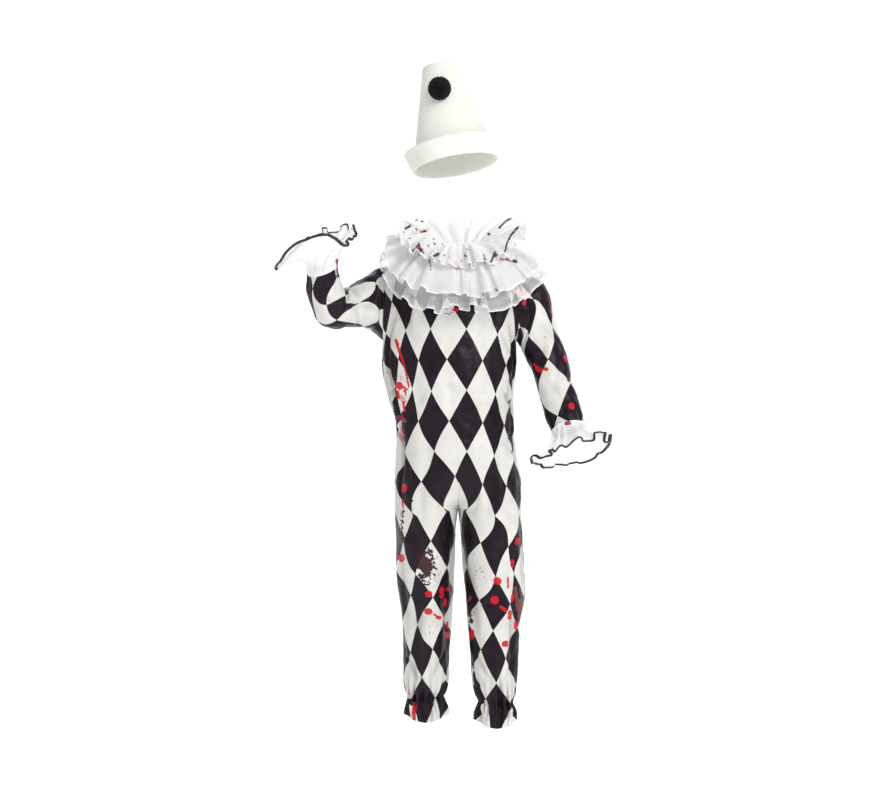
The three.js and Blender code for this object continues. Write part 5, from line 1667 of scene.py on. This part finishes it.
def select_edges(obj, test):
    """Selects the edges whose two ends both pass the test, in edit mode, and nothing else."""
    bpy.ops.mesh.select_mode(type="EDGE")
    bpy.ops.mesh.select_all(action="DESELECT")
    bpy.ops.object.mode_set(mode="OBJECT")
    mesh = obj.data
    for edge in mesh.edges:
        edge.select = all(test(mesh.vertices[k].co) for k in edge.vertices)
    picked = {k for edge in mesh.edges if edge.select for k in edge.vertices}
    for vertex in mesh.vertices:
        vertex.select = vertex.index in picked
    bpy.ops.object.mode_set(mode="EDIT")


def extrude_ring(out, up):
    """Extrudes the selected ring of edges: out is its new size over the old, up the rise in mm."""
    bpy.ops.mesh.extrude_region_move(TRANSFORM_OT_translate={"value": (0, 0, up * MM)})
    bpy.ops.transform.resize(value=(out, out, 1), center_override=(0, 0, 0))


def apply_modifier(obj, kind, **settings):
    modifier = obj.modifiers.new(kind.title(), kind)
    for name, value in settings.items():
        setattr(modifier, name, value)
    bpy.context.view_layer.objects.active = obj
    bpy.ops.object.modifier_apply(modifier=modifier.name)


def thicken(obj, wall, offset, rounding, segments):
    """Gives a felt piece its wall and rounds its edges."""
    bpy.ops.object.mode_set(mode="OBJECT")
    apply_modifier(obj, "SOLIDIFY", thickness=wall * MM, offset=offset)
    apply_modifier(obj, "BEVEL", width=rounding * MM, segments=segments, limit_method="ANGLE")
    return obj


def finish_felt(obj, material, name):
    """Names a felt piece, gives it its cloth, and puts it at the hat's place."""
    obj.name = name
    obj.data.name = name
    obj.data.transform(hat_matrix())
    obj.data.materials.clear()
    obj.data.materials.append(material)
    bpy.context.view_layer.objects.active = obj
    obj.select_set(True)
    bpy.ops.object.shade_smooth_by_angle(angle=math.radians(40))
    select_none()
    return obj


class COSTUME_OT_hat(bpy.types.Operator):
    """Models the hat: crown, top disc and turned-up brim"""

    bl_idname = "costume.hat"
    bl_label = "Hat"

    def execute(self, context):
        settings = context.scene.costume_hat
        felt = kept("felt", lambda: felt_material(settings))
        for word, make in (("crown", self.crown), ("top", self.top), ("brim", self.brim)):
            piece = finish_felt(make(), felt, "felt_" + word)
            finish_piece(piece, "felt", "hat_" + word)
        return {"FINISHED"}

    def ring(self, radius, z):
        """A ring of edges at its height, selected in edit mode."""
        select_none()
        bpy.ops.mesh.primitive_circle_add(
            vertices=CROWN_SIDES, radius=radius * MM, fill_type="NOTHING", location=(0, 0, z * MM)
        )
        obj = bpy.context.active_object
        bpy.ops.object.transform_apply(location=True, rotation=True, scale=True)
        bpy.ops.object.mode_set(mode="EDIT")
        bpy.ops.mesh.select_mode(type="EDGE")
        bpy.ops.mesh.select_all(action="SELECT")
        return obj

    def crown(self):
        """Extruded from the mouth up, with a swell above the brim."""
        obj = self.ring(CROWN["mouth"], 0)
        swell = np.linspace(0, CROWN["swell_up"], 4)
        levels = np.concatenate([swell, np.linspace(CROWN["swell_up"], CROWN["tall"], 12)[1:]])
        for low, high in zip(levels[:-1], levels[1:]):
            extrude_ring(crown_radius(high) / crown_radius(low), high - low)
        return thicken(obj, CROWN["wall"], -1, CROWN["round"], 2)

    def top(self):
        """The round top, its edge rounded."""
        obj = self.ring(CROWN["top"], CROWN["tall"] + TOP_DISC["above"])
        bpy.ops.mesh.edge_face_add()
        bpy.ops.mesh.inset(thickness=TOP_DISC["inset"] * MM)
        bpy.ops.mesh.poke()
        return thicken(obj, CROWN["wall"], 1, TOP_DISC["round"], 3)

    def brim(self):
        """Turned up from the mouth in a rounded fold, flaring away from the crown."""
        radius = CROWN["mouth"] + BRIM["foot"]
        level = BRIM["from"]
        obj = self.ring(radius, level)
        for out, up in BRIM_FOLD:
            extrude_ring((radius + out) / radius, up)
            radius += out
            level += up
        out = (BRIM["flare"] - BRIM["fold"]) / BRIM["steps"]
        for _ in range(BRIM["steps"]):
            extrude_ring((radius + out) / radius, (BRIM["rise"] - level) / BRIM["steps"])
            radius += out
        return thicken(obj, BRIM["wall"], 0, BRIM["round"], 2)


class COSTUME_OT_pompom(bpy.types.Operator):
    """Makes the black pompom on the front of the hat"""

    bl_idname = "costume.pompom"
    bl_label = "Pompom"

    def execute(self, context):
        settings = context.scene.costume_hat
        yarn = kept("yarn", lambda: yarn_material(settings))
        points, faces = pompom_mesh()
        obj = make_object("yarn_pompom", points, faces, yarn, sharp=180)
        slope = math.atan((CROWN["swell"] - CROWN["top"]) / (CROWN["tall"] - CROWN["swell_up"]))
        turn = math.radians(POMPOM["turn"])
        stand = POMPOM["back"] + POMPOM["gap"]
        reach = crown_radius(POMPOM["up"]) + stand * math.cos(slope)
        up = POMPOM["up"] + stand * math.sin(slope)
        place = Vector((reach * math.sin(turn), -reach * math.cos(turn), up)) * MM
        lean = Matrix.Rotation(turn, 4, "Z") @ Matrix.Rotation(-slope, 4, "X")
        obj.data.transform(hat_matrix() @ Matrix.Translation(place) @ lean)
        finish_piece(obj, "pompom", "hat_pompom")
        return {"FINISHED"}


def pompom_mesh():
    """Cut yarn ends standing out of a round core, each a tapered three-sided strand."""
    draw = np.random.default_rng(SEEDS["pompom"])
    count = POMPOM["strands"]
    k = np.arange(count) + 0.5
    polar = np.arccos(1 - 2 * k / count)
    turn = math.pi * (1 + 5**0.5) * k
    ways = np.stack([np.cos(turn) * np.sin(polar), np.sin(turn) * np.sin(polar), np.cos(polar)], 1)
    ways = unit(ways + draw.normal(0, 0.05, ways.shape))
    side = unit(np.cross(ways, draw.normal(size=ways.shape)))
    other = np.cross(ways, side)
    heights = (0.3, 0.75, 1.0)
    widths = (1.0, 1.35, 0.75)
    sway = draw.normal(0, 0.05, (count, 2))
    tall = POMPOM["radius"] * draw.uniform(0.93, 1.0, count)
    points, faces = [], []
    for n in range(count):
        base = len(points)
        for h, w in zip(heights, widths):
            bend = (side[n] * sway[n, 0] + other[n] * sway[n, 1]) * (h * h)
            centre = unit(ways[n] * h + bend) * tall[n] * h
            for m in range(3):
                a = m / 3 * TAU
                points.append(centre + (side[n] * math.cos(a) + other[n] * math.sin(a)) * w)
        for row in (base, base + 3):
            for m in range(3):
                q = (m + 1) % 3
                faces.append((row + m, row + q, row + 3 + q, row + 3 + m))
        faces.append((base + 6, base + 7, base + 8))
        faces.append((base + 2, base + 1, base))
    points = np.array(points)
    points[:, 1] = np.minimum(points[:, 1], POMPOM["back"])
    return points, faces


class COSTUME_OT_stage(bpy.types.Operator):
    """Adds the pale floor and backdrop, the soft lights and the camera"""

    bl_idname = "costume.stage"
    bl_label = "Stage"

    def execute(self, context):
        settings = context.scene.costume_stage
        self.backdrop(settings)
        self.lights(context)
        data = bpy.data.cameras.new("Camera")
        data.lens = settings.lens
        data.sensor_width = 36
        data.clip_end = 50
        camera = bpy.data.objects.new("Camera", data)
        camera.location = (CAMERA["x"] * MM, -CAMERA["away"] * MM, CAMERA["z"] * MM)
        camera.rotation_euler = (math.radians(90), 0, 0)
        context.scene.collection.objects.link(camera)
        context.scene.camera = camera
        context.scene.view_settings.view_transform = "Standard"
        return {"FINISHED"}

    def backdrop(self, settings):
        """A floor swept up into a wall behind, in one sheet."""
        select_none()
        bpy.ops.mesh.primitive_plane_add(size=PAPER["size"], location=(0, PAPER["middle"], settings.floor))
        floor = bpy.context.active_object
        bpy.ops.object.transform_apply(location=True, rotation=True, scale=True)
        bpy.ops.object.mode_set(mode="EDIT")
        select_edges(floor, lambda co: co.y > PAPER["edge"])
        bpy.ops.mesh.extrude_region_move(TRANSFORM_OT_translate={"value": (0, 0, PAPER["rise"])})
        bpy.ops.object.mode_set(mode="OBJECT")
        apply_modifier(floor, "BEVEL", width=PAPER["round"], segments=16, limit_method="ANGLE")
        floor.name = "backdrop"
        material, tree, shader = new_material("Backdrop paper")
        feed(tree, shader, {
            "Base Color": blend(tree, noise(tree, 3.0), settings.pale, toned(settings.pale, 0.98)),
            "Roughness": 0.9,
            "Emission Color": (1, 1, 1, 1),
            "Emission Strength": settings.glow,
        })
        floor.data.materials.append(material)
        floor.data.shade_smooth()
        select_none()

    def lights(self, context):
        """Broad soft light from the front and the wearer's left, and an even pale sky."""
        world = bpy.data.worlds.new("Studio")
        world.use_nodes = True
        feed(world.node_tree, world.node_tree.nodes["Background"], {0: (1, 1, 1, 1), 1: SKY})
        context.scene.world = world
        for name, place, size, power in LAMPS:
            data = bpy.data.lights.new(name, "AREA")
            data.size = size
            data.energy = power
            lamp = bpy.data.objects.new(name, data)
            lamp.location = place
            lamp.rotation_euler = (Vector(LAMP_TARGET) - Vector(place)).to_track_quat("-Z", "Y").to_euler()
            context.scene.collection.objects.link(lamp)


class COSTUME_PT_panel(bpy.types.Panel):
    """Lists the costume's pieces in the sidebar"""

    bl_idname = "COSTUME_PT_panel"
    bl_label = "Pierrot costume"
    bl_space_type = "VIEW_3D"
    bl_region_type = "UI"
    bl_category = "Costume"

    def draw(self, context):
        layout = self.layout
        scene = context.scene
        for settings in (scene.costume_suit, scene.costume_frill, scene.costume_hat, scene.costume_stage):
            box = layout.box()
            for name in settings.bl_rna.properties.keys():
                if name not in ("rna_type", "name"):
                    box.prop(settings, name)
        for operator in OPERATORS:
            layout.operator(operator.bl_idname)


OPERATORS = (
    COSTUME_OT_stage,
    COSTUME_OT_suit,
    COSTUME_OT_placket,
    COSTUME_OT_sleeves,
    COSTUME_OT_cuffs,
    COSTUME_OT_collar,
    COSTUME_OT_hat,
    COSTUME_OT_pompom,
)
SETTINGS = {
    "costume_suit": SuitSettings,
    "costume_frill": FrillSettings,
    "costume_hat": HatSettings,
    "costume_stage": StageSettings,
}


def register():
    for kind in (*SETTINGS.values(), *OPERATORS, COSTUME_PT_panel):
        bpy.utils.register_class(kind)
    for name, kind in SETTINGS.items():
        setattr(bpy.types.Scene, name, bpy.props.PointerProperty(type=kind))


def unregister():
    for name in SETTINGS:
        delattr(bpy.types.Scene, name)
    for kind in (COSTUME_PT_panel, *reversed(OPERATORS), *SETTINGS.values()):
        bpy.utils.unregister_class(kind)


def main():
    register()
    bpy.ops.costume.stage()
    bpy.ops.costume.suit()
    bpy.ops.costume.placket()
    bpy.ops.costume.sleeves()
    bpy.ops.costume.cuffs()
    bpy.ops.costume.collar()
    bpy.ops.costume.hat()
    bpy.ops.costume.pompom()


if __name__ == "__main__":
    main()
